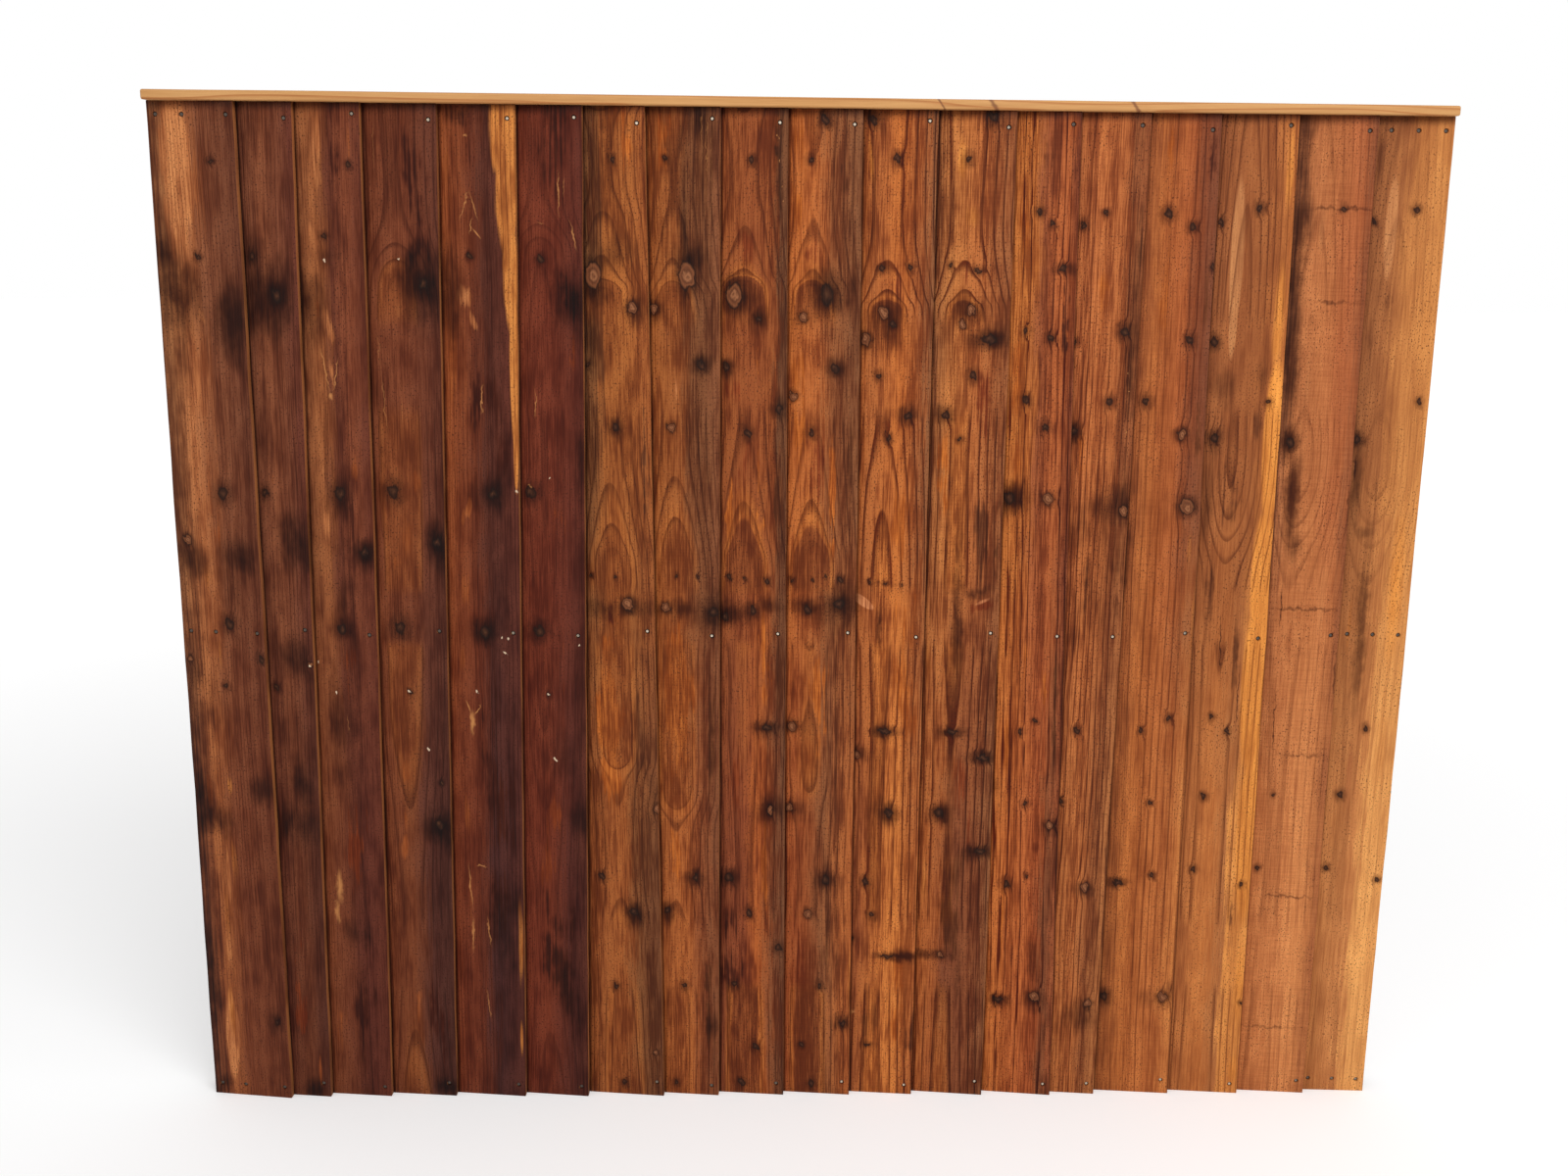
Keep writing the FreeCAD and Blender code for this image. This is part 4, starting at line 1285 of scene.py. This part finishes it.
def wire_nail(shank, head, length):
    """A nail that points up, with its head's outer face at the origin."""
    bpy.ops.object.select_all(action="DESELECT")
    straight = length - NAIL_HEAD_DEPTH - NAIL_POINT
    bpy.ops.mesh.primitive_cylinder_add(vertices=12, radius=shank, depth=straight)
    nail = bpy.context.object
    nail.data.transform(Matrix.Translation((0, 0, NAIL_HEAD_DEPTH + straight / 2)))
    bpy.ops.object.mode_set(mode="EDIT")
    select_end(nail, -1)
    wider = head / shank
    wall = NAIL_HEAD_DEPTH * NAIL_HEAD_WALL
    bpy.ops.mesh.extrude_region()
    bpy.ops.transform.resize(value=(wider, wider, 1), center_override=(0, 0, NAIL_HEAD_DEPTH))
    bpy.ops.mesh.extrude_region_move(TRANSFORM_OT_translate={"value": (0, 0, -wall)})
    bpy.ops.mesh.inset(thickness=head * NAIL_HEAD_BEVEL, depth=NAIL_HEAD_DEPTH - wall)
    bpy.ops.mesh.inset(thickness=head * NAIL_HEAD_DISH)
    select_end(nail, 1)
    bpy.ops.mesh.extrude_region_move(TRANSFORM_OT_translate={"value": (0, 0, NAIL_POINT)})
    bpy.ops.transform.resize(value=(NAIL_TIP, NAIL_TIP, 1), center_override=(0, 0, length))
    bpy.ops.object.mode_set(mode="OBJECT")
    rim = nail.data.attributes.new("rim", "FLOAT", "POINT")
    for vertex, spot in zip(nail.data.vertices, rim.data):
        spot.value = vertex.co.xy.length / head
    return nail


zinc = zinc_material()


def nail_group(node, groups, shank, head):
    """All the nails of one CAD group, joined: groups holds (heads, direction) pairs."""
    nails = []
    for heads, direction in groups:
        turn = direction.to_track_quat("Z", "Y").to_matrix().to_4x4()
        pattern = wire_nail(shank, head, heads[0][1])
        for place, _ in heads:
            nail = pattern.copy()
            nail.data = pattern.data.copy()
            nail.data.transform(Matrix.Translation(place) @ turn)
            bpy.context.collection.objects.link(nail)
            nails.append(nail)
        bpy.data.objects.remove(pattern)
    only(nails[0])
    for nail in nails:
        nail.select_set(True)
    bpy.ops.object.join()
    nails[0].name = nails[0].data.name = f"{node}_zinc"
    finish_piece(nails[0], zinc, node)


for row in BOARD_NAIL_ROWS:
    nail_group(row, [(nail_heads(row, BACKWARDS), BACKWARDS)], NAIL_SHANK, BOARD_NAIL_HEAD)
frame_groups = [(heads, -side * SIDEWAYS) for side, heads in frame_heads.items()]
nail_group("frame_nails", frame_groups, FRAME_NAIL_SHANK, FRAME_NAIL_HEAD)
nail_group("capping_nails", [(capping_heads, DOWNWARDS)], NAIL_SHANK, BOARD_NAIL_HEAD)

# Floor, light and background: a flat white floor and white background under soft light from above and in
# front. Floor and background look white to the camera and in gloss, and light the panel at a plain level.
FLOOR_SIZE = 40.0
FLOOR_WHITE = (0.9, 0.9, 0.9, 1)
GLOW_NEAR, GLOW_FAR = 0.27, 0.5
GLOW_START, GLOW_END = 1.0, 5.0
SKY_LIGHT = 0.6
LAMP_PLACE, LAMP_AIM = Vector((1.2, -3.0, 3.6)), Vector((0, 0, 0.7))
LAMP_SIZE, LAMP_POWER = 2.5, 90


def seen_directly(tree):
    """1 for what the camera sees, also in gloss and through glass, and 0 for light on the object."""
    path = tree.nodes.new("ShaderNodeLightPath")
    rays = [Shade(tree, path.outputs[f"Is {kind} Ray"]) for kind in ("Camera", "Glossy", "Transmission")]
    return rays[0].math("MAXIMUM", rays[0].math("MAXIMUM", rays[0], rays[1]), rays[2])


bpy.ops.object.select_all(action="DESELECT")
bpy.ops.mesh.primitive_plane_add(size=FLOOR_SIZE)
floor = bpy.context.object
floor.name = "floor"
floor_material = bpy.data.materials.new("floor_white")
floor_material.use_nodes = True
tree = floor_material.node_tree
matt = tree.nodes["Principled BSDF"]
matt.inputs["Base Color"].default_value = FLOOR_WHITE
matt.inputs["Roughness"].default_value = 0.9
matt.inputs["Specular IOR Level"].default_value = 0.1
matt.inputs["Emission Strength"].default_value = 1.0
place = Shade(tree, tree.nodes.new("ShaderNodeTexCoord").outputs["Object"])
glow = seen_directly(tree) * place.length().smooth(GLOW_START, GLOW_END, GLOW_NEAR, GLOW_FAR)
grey = glow.node("ShaderNodeCombineColor", {}, {0: glow, 1: glow, 2: glow})
tree.links.new(grey.socket, matt.inputs["Emission Color"])
floor.data.materials.append(floor_material)

world = bpy.data.worlds.new("studio")
bpy.context.scene.world = world
world.use_nodes = True
sky = world.node_tree.nodes["Background"]
sky.inputs["Color"].default_value = (1.0, 1.0, 1.0, 1.0)
strength = seen_directly(world.node_tree) * (1 - SKY_LIGHT) + SKY_LIGHT
world.node_tree.links.new(strength.socket, sky.inputs["Strength"])

bpy.ops.object.light_add(type="AREA", location=LAMP_PLACE)
lamp = bpy.context.object
lamp.data.size = LAMP_SIZE
lamp.data.energy = LAMP_POWER
lamp.rotation_euler = (LAMP_AIM - LAMP_PLACE).to_track_quat("-Z", "Y").to_euler()

bpy.context.scene.view_settings.view_transform = "Standard"
